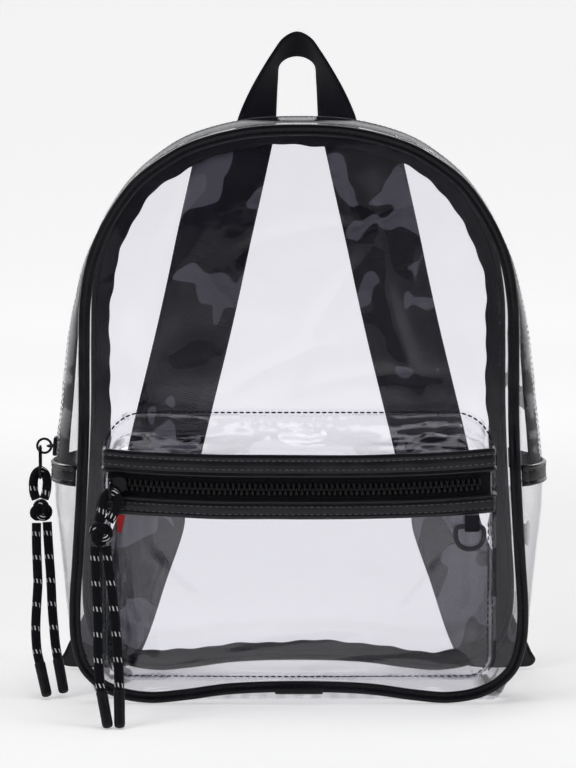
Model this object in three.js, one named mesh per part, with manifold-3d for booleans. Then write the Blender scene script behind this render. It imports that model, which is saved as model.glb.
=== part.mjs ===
// Clear stadium backpack in millimetres. X runs to the viewer's right, the front faces minus Y, Z is up.
// The origin is the centre of the flat underside of the base.
import * as THREE from 'three';
import { mergeVertices } from 'three/addons/utils/BufferGeometryUtils.js';
import Module from 'manifold-3d';

const wasm = await Module();
wasm.setup();

// Body of the bag
const bodyHeight = 304;
const bodyHalfWidth = 120.6;
const bodyDepth = 115;
const sheetWall = 1.2;
const clearance = 0.3;
const sideBulge = 14;
const crestPower = 0.625;
const settleRun = 0.12;
const settleFull = 6.5;
const settleNone = 14;

// Piping and the inner binding of the seams
const pipingCordRadius = 1.75;
const pipingProud = 0.4;
const pipingWidth = 6;
const pipingFlangeWall = 1.1;
const bindingWidth = 11;
const bindingWave = 0.9;
const bindingWaves = 17;
const bindingWall = 1.2;
const sleeveLength = 25;
const sleeveWall = 0.8;

// Bands across the sides
const bandLevel = 120;
const bandHeight = 11;
const bandWall = 1.4;
const bandRim = 0.5;
const bandSeat = 0.5;

// Main zip
const zipSetback = 54;
const zipOpening = 24;
const zipTapeOverlap = 3;
const zipTapeWall = 0.9;
const zipChainWidth = 7;
const zipChainProud = 1;
const mainSliderLevel = 131;
const mainSliderLength = 11;
const mainSliderWidth = 9;
const mainSliderHeight = 2.4;

// Carry handle
const handleCentre = -0.7;
const handleLegInner = 11.6;
const handleWidth = 22.8;
const handleRise = 51;
const handleWall = 1.6;

// Shoulder straps
const strapWidth = 41;
const strapThickness = 5;
const strapTop = 300;
const strapEnd = 118;
const strapStandOff = 14;
const webbingWidth = 38;
const webbingWall = 1.6;
const adjusterHeight = 20;
const adjusterWidth = 46.5;
const adjusterWall = 3;
const adjusterBar = 3.5;
const tabWall = 1.6;
const tabReach = 133;
const tabRise = 21;

// Front pocket
const pocketDepth = 48;
const pocketHalfWidth = 98;
const pocketFloor = 21;
const pocketFrontTop = 136;
const pocketBackHalfWidth = 101;
const pocketBackTop = 153;
const pocketBackFloor = 15;
const pocketCrown = 4;
const pocketCorner = 12;
const pocketSeamCorner = 20;
const trimUpperHeight = 12;
const trimLowerHeight = 10;
const trimGap = 11;
const trimWall = 1.6;
const trimRib = 0.8;
const trimLift = 3;
const trimWrap = 13;
const trimTurn = 0.6;
const pocketSag = 3;
const pocketTapeWall = 0.8;
const pocketTapeOverlap = 2.5;
const pocketChainProud = 1.6;
const pocketSliderAcross = -92.5;
const pocketSliderLength = 10;
const pocketSliderWidth = 8.6;
const pocketSliderHeight = 2.8;

// Small red tab under the lower trim
const redTabAcross = -90.7;
const redTabHalfWidth = 2.3;
const redTabFoot = 1;
const redTabDrop = 7;
const redTabWall = 0.8;

// Ring below the pocket zip and its tab
const ringWire = 1.3;
const ringAcross = 86.8;
const ringBarLevel = 99.5;
const ringHalfWidth = 7.2;
const ringDrop = 11.4;
const ringTabAcross = 88;
const ringTabWidth = 7.4;
const ringTabWall = 1.2;

// Pull cords
const cordRadius = 2.5;
const cordSides = 8;
const knotRadius = 6.1;
const tipRadius = 2.9;
const tipLength = 19;
const linkWire = 0.7;
const mainRingRadius = 3.8;
const pocketRingRadius = 4.5;
const pullLinkHalfWidth = 3.7;
const linkGap = 0.4;
const archRadius = 3;
const archWire = 0.8;

const halfDepth = bodyDepth / 2;
const edgeSetback = pipingCordRadius - pipingProud + clearance;
const gussetRun = bodyDepth - 2 * edgeSetback;
const frontLine = -halfDepth - pocketDepth;

const clearSheet = new THREE.MeshStandardMaterial({
  color: 0xe5e5ed, roughness: 0.12, metalness: 0, transparent: true, opacity: 0.35,
});
const blackLeather = new THREE.MeshStandardMaterial({ color: 0x17171c, roughness: 0.45, metalness: 0 });
const blackWebbing = new THREE.MeshStandardMaterial({ color: 0x1d1d26, roughness: 0.85, metalness: 0 });
const blackPlastic = new THREE.MeshStandardMaterial({ color: 0x141418, roughness: 0.4, metalness: 0 });
const blackMetal = new THREE.MeshStandardMaterial({ color: 0x101014, roughness: 0.35, metalness: 0.6 });
const blackCord = new THREE.MeshStandardMaterial({ color: 0x121216, roughness: 0.9, metalness: 0 });
const redCloth = new THREE.MeshStandardMaterial({ color: 0xc03a3a, roughness: 0.8, metalness: 0 });

// Half of the seam outline from the bottom centre to the top centre, in shares of half width and height.
const seamRows = [
  { across: 0, up: 0.0204 },
  { across: 0.3, up: 0.0164 },
  { across: 0.5, up: 0.006 },
  { across: 0.65, up: 0.0015 },
  { across: 0.79, up: 0.0105 },
  { across: 0.89, up: 0.031 },
  { across: 0.958, up: 0.061 },
  { across: 0.992, up: 0.105 },
  { across: 1, up: 0.16 },
  { across: 0.986, up: 0.255 },
  { across: 0.97, up: 0.36 },
  { across: 0.957, up: 0.49 },
  { across: 0.955, up: 0.62 },
  { across: 0.949, up: 0.697 },
  { across: 0.916, up: 0.77 },
  { across: 0.845, up: 0.836 },
  { across: 0.726, up: 0.903 },
  { across: 0.606, up: 0.941 },
  { across: 0.478, up: 0.969 },
  { across: 0.25, up: 0.9935 },
  { across: 0, up: 1 },
];

// How far the side swells past the seam at each level, in shares of the height and of the bulge.
const bulgeRows = [
  { up: 0, bulge: 0 },
  { up: 0.066, bulge: 0 },
  { up: 0.13, bulge: 0.08 },
  { up: 0.184, bulge: 0.29 },
  { up: 0.253, bulge: 0.57 },
  { up: 0.329, bulge: 0.88 },
  { up: 0.395, bulge: 1 },
  { up: 0.46, bulge: 0.93 },
  { up: 0.526, bulge: 0.79 },
  { up: 0.628, bulge: 0.57 },
  { up: 0.697, bulge: 0.32 },
  { up: 0.806, bulge: 0.1 },
  { up: 0.905, bulge: 0.14 },
  { up: 0.97, bulge: 0.27 },
  { up: 1, bulge: 0.3 },
];

// Half of the handle from its foot to its peak. Out and in are its two edges, in shares of the width
// beyond the inner line of the leg; rise is a share of the handle's rise; turn is forward of the seam.
const handleRows = [
  { outer: 1, outerRise: 0, inner: 0, innerRise: 0, turn: 0 },
  { outer: 0.89, outerRise: 0.15, inner: 0, innerRise: 0.13, turn: 0.45 },
  { outer: 0.65, outerRise: 0.37, inner: -0.01, innerRise: 0.31, turn: 0.76 },
  { outer: 0.37, outerRise: 0.58, inner: -0.03, innerRise: 0.5, turn: 0.92 },
  { outer: 0.06, outerRise: 0.79, inner: -0.07, innerRise: 0.66, turn: 0.96 },
  { outer: -0.2, outerRise: 0.94, inner: -0.25, innerRise: 0.73, turn: 0.88 },
  { outer: -0.51, outerRise: 1, inner: -0.51, innerRise: 0.755, turn: 0.83 },
];

// Centre line of a shoulder strap, in shares of its own height, the half width and the stand-off.
const strapRows = [
  { up: 1, across: 0.281, off: 0 },
  { up: 0.85, across: 0.331, off: 0 },
  { up: 0.68, across: 0.389, off: 0.07 },
  { up: 0.52, across: 0.441, off: 0.38 },
  { up: 0.36, across: 0.497, off: 0.76 },
  { up: 0.21, across: 0.553, off: 0.96 },
  { up: 0.1, across: 0.594, off: 1 },
  { up: 0, across: 0.629, off: 0.92 },
];

// Centre line of the webbing below the adjuster, in shares of the strap's end level and half width.
const webbingRows = [
  { up: 0.71, across: 0.684, off: 0.66 },
  { up: 0.47, across: 0.763, off: 0.4 },
  { up: 0.23, across: 0.84, off: 0.2 },
  { up: 0.09, across: 0.9, off: 0.18 },
];

// Outline of the tab that the webbing is sewn to, in shares of its reach and rise.
const tabRows = [
  { out: 0.69, up: 0.2 },
  { out: 0.93, up: 0.07 },
  { out: 0.985, up: 0.12 },
  { out: 1, up: 0.27 },
  { out: 0.985, up: 0.46 },
  { out: 0.93, up: 1 },
  { out: 0.72, up: 0.92 },
];

// Routes of the cords, chosen by hand.
const mainLoopRoute = [
  [-141.2, -8.2, 103.2], [-142.4, -7.6, 106.4], [-142.8, -6.8, 110], [-142.7, -6, 113.2],
  [-141.6, -5.3, 116.6], [-139.1, -5, 118.4], [-136.6, -5.3, 116.6], [-135.5, -6, 113.2],
  [-135.5, -6.8, 110], [-136, -7.6, 106.4], [-137, -8.2, 103.2],
];
const pocketLoopRoute = [
  [-101.6, -117.2, 102.8], [-100.7, -117.3, 106], [-99.8, -117.3, 109.4], [-99.3, -117.3, 112.6],
  [-98.3, -117.3, 115.8], [-95.6, -117.3, 117.8], [-92.9, -117.3, 115.8], [-92, -117.3, 112.6],
  [-92.6, -117.3, 109.4], [-94.4, -117.3, 106], [-96.4, -117.2, 103],
];
const mainTailRouteA = [
  [-140.9, -11.3, 90.6], [-140.9, -12, 85.5], [-140.8, -13.1, 80.4], [-140.6, -14.4, 75.3],
  [-140.3, -15.9, 70.2], [-140, -17.6, 65.1], [-139.7, -19.4, 60], [-139.8, -21.3, 54.9],
  [-140, -23.3, 49.7], [-140.2, -25.4, 44.5], [-140.3, -27.5, 39.3], [-140.2, -29.7, 34.1],
  [-139.8, -31.9, 28.9], [-139.1, -34.1, 23.7], [-137.8, -36.3, 18.8],
];
const mainTailRouteB = [
  [-135.3, -9.4, 90.9], [-135, -9.7, 86], [-134.7, -10.5, 81], [-134.3, -11.6, 75.9],
  [-133.9, -12.9, 70.8], [-133.4, -14.4, 65.7], [-133, -16, 60.6], [-132.6, -17.7, 55.5],
  [-132.3, -19.5, 50.4], [-131.9, -21.4, 45.3], [-131.4, -23.3, 40.2], [-130.8, -25.3, 35.1],
  [-130.2, -27.4, 30], [-129.4, -29.5, 24.9], [-128.4, -31.6, 20.2],
];
const pocketTailRouteA = [
  [-103.6, -117.6, 90.1], [-103.5, -117.9, 84.8], [-103.2, -118.5, 79.5], [-103, -119.3, 74.2],
  [-102.7, -120.2, 68.9], [-102.3, -121.2, 63.6], [-102, -122.3, 58.3], [-101.8, -123.4, 53],
  [-101.7, -124.6, 47.7], [-101.7, -125.8, 42.4], [-101.6, -127, 37.1], [-101.4, -128.2, 31.8],
  [-101, -129.4, 26.5], [-100.5, -130.5, 22], [-99.8, -131.7, 18.6],
];
const pocketTailRouteB = [
  [-97.8, -117.4, 90.2], [-97.1, -117.7, 85.1], [-96.6, -118.3, 80], [-95.8, -119.1, 74.9],
  [-95.1, -120, 69.8], [-94.4, -121, 64.6], [-93.8, -122.1, 59.4], [-93.2, -123.2, 54.2],
  [-92.7, -124.4, 49], [-92.2, -125.6, 43.7], [-91.8, -126.8, 38.4], [-91.4, -128, 33.1],
  [-91.1, -129.2, 27.8], [-90.9, -130.4, 22.7], [-90.8, -131.7, 18.9],
];
const mainKnotCentre = [-138.5, -9.8, 97];
const pocketKnotCentre = [-100.6, -117.4, 96.5];

const bag = new THREE.Group();

function addPiece(name, geometry, material, place = [0, 0, 0]) {
  const piece = new THREE.Mesh(geometry, material);
  piece.name = name;
  piece.position.set(...place);
  bag.add(piece);
  return piece;
}

// Value of a column at a key, joined by straight lines between the rows.
function lookUp(rows, key, column, value) {
  let lower = rows[0];
  for (const row of rows) {
    if (value <= row[key]) {
      const run = row[key] - lower[key];
      const share = run > 0 ? (value - lower[key]) / run : 0;
      return THREE.MathUtils.lerp(lower[column], row[column], Math.max(share, 0));
    }
    lower = row;
  }
  return lower[column];
}

// A closed geometry whose faces point out, whichever way its triangles were listed.
function closedGeometry(vertices, triangles) {
  let volume = 0;
  for (let k = 0; k < triangles.length; k += 3) {
    const [a, b, c] = [vertices[triangles[k]], vertices[triangles[k + 1]], vertices[triangles[k + 2]]];
    volume += a.dot(new THREE.Vector3().crossVectors(b, c));
  }
  const geometry = new THREE.BufferGeometry().setFromPoints(vertices);
  geometry.setIndex(volume < 0 ? [...triangles].reverse() : triangles);
  geometry.computeVertexNormals();
  return geometry;
}

// A thin sheet: place(along, across, side) gives its outer side at 0 and its inner side at 1.
function sheetSolid(stepsAlong, stepsAcross, place, loops = false) {
  const vertices = [];
  const triangles = [];
  const rows = loops ? stepsAlong : stepsAlong + 1;
  for (const side of [0, 1]) {
    for (let i = 0; i < rows; i += 1) {
      for (let j = 0; j <= stepsAcross; j += 1) {
        vertices.push(place(i / stepsAlong, j / stepsAcross, side));
      }
    }
  }
  const at = (i, j, side) => (side * rows + (i % rows)) * (stepsAcross + 1) + j;
  const quad = (a, b, c, d) => triangles.push(a, b, c, a, c, d);
  for (let i = 0; i < stepsAlong; i += 1) {
    for (let j = 0; j < stepsAcross; j += 1) {
      quad(at(i, j, 0), at(i + 1, j, 0), at(i + 1, j + 1, 0), at(i, j + 1, 0));
      quad(at(i, j, 1), at(i, j + 1, 1), at(i + 1, j + 1, 1), at(i + 1, j, 1));
    }
    quad(at(i, 0, 0), at(i, 0, 1), at(i + 1, 0, 1), at(i + 1, 0, 0));
    quad(at(i, stepsAcross, 0), at(i + 1, stepsAcross, 0), at(i + 1, stepsAcross, 1), at(i, stepsAcross, 1));
  }
  if (!loops) {
    for (let j = 0; j < stepsAcross; j += 1) {
      quad(at(0, j, 0), at(0, j + 1, 0), at(0, j + 1, 1), at(0, j, 1));
      quad(at(stepsAlong, j, 0), at(stepsAlong, j, 1), at(stepsAlong, j + 1, 1), at(stepsAlong, j + 1, 0));
    }
  }
  return closedGeometry(vertices, triangles);
}

// A solid through a row of rings, with flat ends, or joined round into a loop.
function ringSolid(rings, loops = false) {
  const sides = rings[0].length;
  const triangles = [];
  const at = (i, j) => (i % rings.length) * sides + (j % sides);
  const spans = loops ? rings.length : rings.length - 1;
  for (let i = 0; i < spans; i += 1) {
    for (let j = 0; j < sides; j += 1) {
      triangles.push(at(i, j), at(i + 1, j), at(i + 1, j + 1), at(i, j), at(i + 1, j + 1), at(i, j + 1));
    }
  }
  if (!loops) {
    for (let j = 1; j < sides - 1; j += 1) {
      triangles.push(at(0, 0), at(0, j), at(0, j + 1));
      triangles.push(at(spans, 0), at(spans, j + 1), at(spans, j));
    }
  }
  return closedGeometry(rings.flat(), triangles);
}

function toManifold(geometry) {
  const bare = geometry.clone();
  bare.deleteAttribute('normal');
  bare.deleteAttribute('uv');
  const merged = mergeVertices(bare, 1e-4);
  const vertProperties = new Float32Array(merged.attributes.position.array);
  const triVerts = new Uint32Array(merged.index.array);
  return new wasm.Manifold(new wasm.Mesh({ numProp: 3, vertProperties, triVerts }));
}

function joined(first, second) {
  const result = toManifold(first).add(toManifold(second)).getMesh();
  const geometry = new THREE.BufferGeometry();
  geometry.setAttribute('position', new THREE.BufferAttribute(new Float32Array(result.vertProperties), 3));
  geometry.setIndex(Array.from(result.triVerts));
  geometry.computeVertexNormals();
  return geometry;
}

// Seam outline of the body: a point on it and the outward direction, by its share of the way round.
const seamHalf = seamRows.map((row) => new THREE.Vector3(row.across * bodyHalfWidth, 0, row.up * bodyHeight));
const seamBack = seamHalf.slice(1, -1).reverse().map((point) => new THREE.Vector3(-point.x, 0, point.z));
const seamCurve = new THREE.CatmullRomCurve3([...seamHalf, ...seamBack], true, 'centripetal');
seamCurve.arcLengthDivisions = 800;

function seamAt(share) {
  const way = share - Math.floor(share);
  const point = seamCurve.getPointAt(way);
  const tangent = seamCurve.getTangentAt(way);
  return { x: point.x, z: point.z, outX: tangent.z, outZ: -tangent.x };
}

// Share of the way round at which the right side of the seam reaches a level.
function seamShare(level) {
  let low = 0.1;
  let high = 0.5;
  for (let step = 0; step < 40; step += 1) {
    const middle = (low + high) / 2;
    if (seamAt(middle).z < level) low = middle;
    else high = middle;
  }
  return low;
}

// A point of the gusset by the share round the seam, the distance behind the front seam and an inset.
function gussetPoint(share, setback, inset) {
  const seam = seamAt(share);
  const run = (setback - edgeSetback) / gussetRun;
  const crest = Math.sin(Math.PI * run ** crestPower);
  const swell = sideBulge * lookUp(bulgeRows, 'up', 'bulge', seam.z / bodyHeight) * crest;
  const rampIn = THREE.MathUtils.smoothstep(run, 0, settleRun);
  const rampOut = THREE.MathUtils.smoothstep(1 - run, 0, settleRun);
  const settle = 1 - THREE.MathUtils.smoothstep(seam.z, settleFull, settleNone);
  const level = seam.z * (1 - settle * rampIn * rampOut);
  const out = swell - inset;
  return new THREE.Vector3(seam.x + seam.outX * out, -halfDepth + setback, level + seam.outZ * out);
}

// Setbacks from one edge of a strip to the other in equal steps.
function evenSetbacks(first, last, steps) {
  return Array.from({ length: steps + 1 }, (_, k) => THREE.MathUtils.lerp(first, last, k / steps));
}

// A strip of the gusset between two shares round the seam, through a list of setbacks.
function gussetStrip(stepsAlong, shares, setbacks, insets) {
  const stepsAcross = setbacks.length - 1;
  return sheetSolid(stepsAlong, stepsAcross, (along, across, side) => gussetPoint(
    THREE.MathUtils.lerp(shares[0], shares[1], along),
    setbacks[Math.round(across * stepsAcross)],
    insets[side],
  ));
}

// The flat outline of the body inside the seam by an inset that may change round it.
function bodyOutline(insetAt, count) {
  const points = [];
  for (let k = 0; k < count; k += 1) {
    const seam = seamAt(k / count);
    const inset = insetAt(k / count);
    points.push(new THREE.Vector2(seam.x - seam.outX * inset, seam.z - seam.outZ * inset));
  }
  return points;
}

// A plate from a front outline, standing up, with its back at the given depth.
function standingPlate(shape, wall, backDepth) {
  const geometry = new THREE.ExtrudeGeometry(shape, { depth: wall, bevelEnabled: false, curveSegments: 6 });
  geometry.rotateX(Math.PI / 2);
  geometry.translate(0, backDepth, 0);
  return geometry;
}

const outlineSteps = 48;
const bindingSteps = 72;
const panelInset = 2 * pipingCordRadius + clearance;
const panelShape = new THREE.Shape(bodyOutline(() => panelInset, outlineSteps));
addPiece('front_panel', standingPlate(panelShape, sheetWall, -halfDepth + sheetWall), clearSheet);
addPiece('back_panel', standingPlate(panelShape, sheetWall, halfDepth), clearSheet);

// Piping: a cord with a flat flange that covers the edge of the panel.
function pipingSection() {
  const points = [];
  const cordSteps = 6;
  const firstAngle = THREE.MathUtils.degToRad(-155);
  const lastAngle = THREE.MathUtils.degToRad(140);
  points.push([-pipingWidth, clearance]);
  points.push([-2 * pipingCordRadius, clearance]);
  for (let k = 0; k < cordSteps; k += 1) {
    const angle = THREE.MathUtils.lerp(firstAngle, lastAngle, k / (cordSteps - 1));
    const out = -pipingCordRadius + pipingCordRadius * Math.cos(angle);
    points.push([out, pipingProud + pipingCordRadius * Math.sin(angle)]);
  }
  points.push([-pipingWidth, clearance + pipingFlangeWall]);
  return points;
}

function pipingSolid(facing) {
  const rings = [];
  for (let k = 0; k < outlineSteps; k += 1) {
    const seam = seamAt(k / outlineSteps);
    rings.push(pipingSection().map(([out, proud]) => new THREE.Vector3(
      seam.x + seam.outX * out,
      facing * (halfDepth + proud),
      seam.z + seam.outZ * out,
    )));
  }
  return ringSolid(rings, true);
}

addPiece('front_piping', pipingSolid(-1), blackLeather);
addPiece('back_piping', pipingSolid(1), blackLeather);

// The short sleeve that covers the join of the front piping at the bottom centre.
const seamLength = seamCurve.getLength();
const sleeveFrom = THREE.MathUtils.degToRad(-15);
const sleeveTo = THREE.MathUtils.degToRad(120);
const sleeveSolid = sheetSolid(4, 6, (along, across, side) => {
  const seam = seamAt(((along - 0.5) * sleeveLength) / seamLength);
  const angle = THREE.MathUtils.lerp(sleeveFrom, sleeveTo, across);
  const radius = pipingCordRadius + clearance + (side === 0 ? sleeveWall : 0);
  const out = -pipingCordRadius + radius * Math.cos(angle);
  const proud = pipingProud + radius * Math.sin(angle);
  return new THREE.Vector3(seam.x + seam.outX * out, -halfDepth - proud, seam.z + seam.outZ * out);
});
addPiece('piping_joint', sleeveSolid, blackLeather);

// The back seam's inner binding, with a slightly wavy inner edge.
const bindingShape = new THREE.Shape(bodyOutline(() => panelInset, bindingSteps));
const waveAt = (share) => bindingWidth + bindingWave * Math.sin(2 * Math.PI * bindingWaves * share);
bindingShape.holes.push(new THREE.Path(bodyOutline(waveAt, bindingSteps)));
const bindingBack = halfDepth - sheetWall - clearance;
addPiece('back_binding', standingPlate(bindingShape, bindingWall, bindingBack), blackLeather);

// Gusset sheets round the body, split at the side bands and by the main zip.
const bandShare = seamShare(bandLevel);
const splitShare = clearance / 2 / seamLength;
const sheetInsets = [0, sheetWall];
const baseShares = [-(bandShare - splitShare), bandShare - splitShare];
const topShares = [bandShare + splitShare, 1 - bandShare - splitShare];
const gussetEnds = [edgeSetback, bodyDepth - edgeSetback];
const zipFront = zipSetback - zipOpening / 2;
const zipBack = zipSetback + zipOpening / 2;
const frontSetbacks = evenSetbacks(gussetEnds[0], zipFront, 3);
const backSetbacks = evenSetbacks(zipBack, gussetEnds[1], 3);
const allSetbacks = [...frontSetbacks, zipSetback, ...backSetbacks];
addPiece('base_gusset', gussetStrip(34, baseShares, allSetbacks, sheetInsets), clearSheet);
addPiece('top_gusset_front', gussetStrip(40, topShares, frontSetbacks, sheetInsets), clearSheet);
addPiece('top_gusset_back', gussetStrip(40, topShares, backSetbacks, sheetInsets), clearSheet);

const tapeInsets = [sheetWall + clearance, sheetWall + clearance + zipTapeWall];
const tapeSetbacks = [zipFront - zipTapeOverlap, zipSetback, zipBack + zipTapeOverlap];
addPiece('main_zip_tape', gussetStrip(40, topShares, tapeSetbacks, tapeInsets), blackWebbing);

const chainShare = seamShare(bandLevel + bandHeight / 2 + 2 * clearance);
const chainSetbacks = [zipSetback - zipChainWidth / 2, zipSetback + zipChainWidth / 2];
const chainInsets = [-zipChainProud, sheetWall];
const chainShares = [chainShare, 1 - chainShare];
addPiece('main_zip_chain', gussetStrip(40, chainShares, chainSetbacks, chainInsets), blackPlastic);

// Bands over the joins at the sides, with rolled upper and lower edges.
const bandShares = [seamShare(bandLevel - bandHeight / 2), seamShare(bandLevel + bandHeight / 2)];
const bandStops = [0, 0.14, 0.86, 1];

function bandSolid(turn) {
  const stepsAcross = allSetbacks.length - 1;
  return sheetSolid(3, stepsAcross, (along, across, side) => {
    const stop = bandStops[Math.round(along * 3)];
    const share = THREE.MathUtils.lerp(bandShares[0], bandShares[1], stop);
    const rim = stop === 0 || stop === 1 ? bandRim : 0;
    const inset = side === 0 ? -bandSeat - bandWall - rim : -bandSeat;
    return gussetPoint(turn * share, allSetbacks[Math.round(across * stepsAcross)], inset);
  });
}

addPiece('side_band_right', bandSolid(1), blackLeather);
addPiece('side_band_left', bandSolid(-1), blackLeather);

// Sliders: a body over the chain with a small arch that the pull ring passes through.
// The arch lies in the X-Y plane, stands out of the slider's face and ends just inside it.
function archAt(seat, outward) {
  const sideways = new THREE.Vector3(0, 0, 1).cross(outward);
  const reach = THREE.MathUtils.degToRad(104);
  const stations = 10;
  const rings = [];
  for (let k = 0; k <= stations; k += 1) {
    const turn = THREE.MathUtils.lerp(-reach, reach, k / stations);
    const radial = outward.clone().multiplyScalar(Math.cos(turn)).addScaledVector(sideways, Math.sin(turn));
    const ring = [];
    for (let j = 0; j < 6; j += 1) {
      const angle = (2 * Math.PI * j) / 6;
      const point = seat.clone().addScaledVector(radial, archRadius + archWire * Math.cos(angle));
      point.z += archWire * Math.sin(angle);
      ring.push(point);
    }
    rings.push(ring);
  }
  return ringSolid(rings);
}

const mainSliderShares = [
  -seamShare(mainSliderLevel + mainSliderLength / 2),
  -seamShare(mainSliderLevel - mainSliderLength / 2),
];
const mainSliderSetbacks = [zipSetback - mainSliderWidth / 2, zipSetback + mainSliderWidth / 2];
const sliderInset = -zipChainProud - clearance;
const mainSliderInsets = [sliderInset - mainSliderHeight, sliderInset];
const mainSliderBody = gussetStrip(2, mainSliderShares, mainSliderSetbacks, mainSliderInsets);
const archSeat = gussetPoint(-seamShare(mainSliderLevel), zipSetback, mainSliderInsets[0]);
const mainArch = archAt(archSeat, new THREE.Vector3(-1, 0, 0));
addPiece('main_zip_slider', joined(mainSliderBody, mainArch), blackMetal);

const ringSeat = linkWire + linkGap;
const mainRingCentre = [archSeat.x - ringSeat - mainRingRadius, archSeat.y, archSeat.z];
const mainRing = new THREE.TorusGeometry(mainRingRadius, linkWire, 6, 16);
mainRing.rotateX(Math.PI / 2);
addPiece('main_pull_ring', mainRing, blackMetal, mainRingCentre);

// An upright link with straight sides, in the Y-Z plane, from its lower to its upper wire centre.
function linkSolid(halfWidth, lower, upper) {
  const rings = [];
  const stations = 16;
  const middle = (lower + upper) / 2;
  const straight = (upper - lower) / 2 - halfWidth;
  for (let k = 0; k < stations; k += 1) {
    const turn = (2 * Math.PI * (k + 0.5)) / stations;
    const ring = [];
    for (let j = 0; j < 6; j += 1) {
      const angle = (2 * Math.PI * j) / 6;
      const out = linkWire * Math.cos(angle);
      const y = (halfWidth + out) * Math.cos(turn);
      const half = k < stations / 2 ? 1 : -1;
      const z = middle + half * straight + (halfWidth + out) * Math.sin(turn);
      ring.push(new THREE.Vector3(linkWire * Math.sin(angle), y, z));
    }
    rings.push(ring);
  }
  return ringSolid(rings, true);
}

// Carry handle: two legs that turn from facing the front to edge on, and meet in a peak.
function handleStations() {
  const stations = [];
  const footLevel = (x) => seamAt(0.5 - x / seamLength).z + clearance;
  const handlePoint = (across, back, level) => new THREE.Vector3(handleCentre + across, halfDepth + back, level);
  for (const turn of [-1, 1]) {
    const half = handleRows.map((row) => {
      const outer = handleLegInner + row.outer * handleWidth;
      const inner = handleLegInner + row.inner * handleWidth;
      const forward = (row.turn * handleWidth) / 2;
      const outerFoot = footLevel(outer);
      const innerFoot = footLevel(inner);
      return [
        handlePoint(turn * outer, -forward, outerFoot + row.outerRise * handleRise),
        handlePoint(turn * inner, forward, innerFoot + row.innerRise * handleRise),
      ];
    });
    if (turn < 0) stations.push(...half);
    else stations.push(...half.slice(0, -1).reverse());
  }
  return stations;
}

const handleEdges = handleStations();
const handleRings = handleEdges.map(([outer, inner], k) => {
  const before = handleEdges[Math.max(k - 1, 0)];
  const after = handleEdges[Math.min(k + 1, handleEdges.length - 1)];
  const along = new THREE.Vector3().addVectors(after[0], after[1]).sub(before[0]).sub(before[1]);
  if (k === 0 || k === handleEdges.length - 1) along.set(0, 0, k === 0 ? 1 : -1);
  const across = new THREE.Vector3().subVectors(inner, outer);
  const normal = new THREE.Vector3().crossVectors(along, across).setLength(handleWall / 2);
  return [
    outer.clone().add(normal),
    inner.clone().add(normal),
    inner.clone().sub(normal),
    outer.clone().sub(normal),
  ];
});
addPiece('top_handle', ringSolid(handleRings), blackWebbing);

// Straps and webbing: rings across a centre line behind the back panel.
const strapGround = halfDepth + clearance;

// Level of the inner edge of the piping's flange over a place across the top.
function flangeLevel(x) {
  let low = 0.25;
  let high = 0.5;
  for (let step = 0; step < 40; step += 1) {
    const middle = (low + high) / 2;
    const seam = seamAt(middle);
    if (seam.x - seam.outX * pipingWidth > Math.abs(x)) low = middle;
    else high = middle;
  }
  const seam = seamAt(low);
  return seam.z - seam.outZ * pipingWidth;
}

// The frame of a band at each of its centres: along it, across it, and out of its face.
function bandFrames(centres) {
  return centres.map((centre, k) => {
    const before = centres[Math.max(k - 1, 0)];
    const after = centres[Math.min(k + 1, centres.length - 1)];
    const along = new THREE.Vector3().subVectors(after, before).normalize();
    const across = new THREE.Vector3().crossVectors(along, new THREE.Vector3(0, 1, 0)).normalize();
    const normal = new THREE.Vector3().crossVectors(across, along).normalize();
    return { centre, along, across, normal };
  });
}

function bandRings(frames, halfWidth, halfThickness, section) {
  return frames.map(({ centre, across, normal }) => section.map(([side, depth]) => centre.clone()
    .addScaledVector(across, side * halfWidth)
    .addScaledVector(normal, depth * halfThickness)));
}

const paddedSection = [[-1, 0], [-0.94, 0.8], [-0.6, 1], [0.6, 1], [0.94, 0.8], [1, 0], [0.94, -1], [-0.94, -1]];
const flatSection = [[-1, 1], [1, 1], [1, -1], [-1, -1]];
function strapCentre(row, turn) {
  const depth = strapGround + strapThickness / 2 + row.off * strapStandOff;
  const level = THREE.MathUtils.lerp(strapEnd, strapTop, row.up);
  return new THREE.Vector3(turn * row.across * bodyHalfWidth, depth, level);
}

function webbingCentre(row, turn) {
  const depth = strapGround + webbingWall / 2 + row.off * strapStandOff;
  return new THREE.Vector3(turn * row.across * bodyHalfWidth, depth, row.up * strapEnd);
}

// An adjuster frame with two slots, flat in X and Y, centred on the origin.
function adjusterPlate() {
  const halfWidth = adjusterWidth / 2;
  const halfHeight = adjusterHeight / 2;
  const shape = new THREE.Shape();
  const corner = 2;
  shape.moveTo(-halfWidth + corner, -halfHeight);
  shape.lineTo(halfWidth - corner, -halfHeight);
  shape.absarc(halfWidth - corner, -halfHeight + corner, corner, -Math.PI / 2, 0);
  shape.absarc(halfWidth - corner, halfHeight - corner, corner, 0, Math.PI / 2);
  shape.absarc(-halfWidth + corner, halfHeight - corner, corner, Math.PI / 2, Math.PI);
  shape.absarc(-halfWidth + corner, -halfHeight + corner, corner, Math.PI, 1.5 * Math.PI);
  const slotHalf = halfWidth - adjusterBar;
  const slotHeight = (adjusterHeight - 3 * adjusterBar) / 2;
  for (const low of [-halfHeight + adjusterBar, adjusterBar / 2]) {
    const slot = new THREE.Path();
    slot.moveTo(-slotHalf, low);
    slot.lineTo(-slotHalf, low + slotHeight);
    slot.lineTo(slotHalf, low + slotHeight);
    slot.lineTo(slotHalf, low);
    slot.closePath();
    shape.holes.push(slot);
  }
  const plate = new THREE.ExtrudeGeometry(shape, { depth: adjusterWall, bevelEnabled: false, curveSegments: 3 });
  plate.translate(0, 0, -adjusterWall / 2);
  return plate;
}

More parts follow.
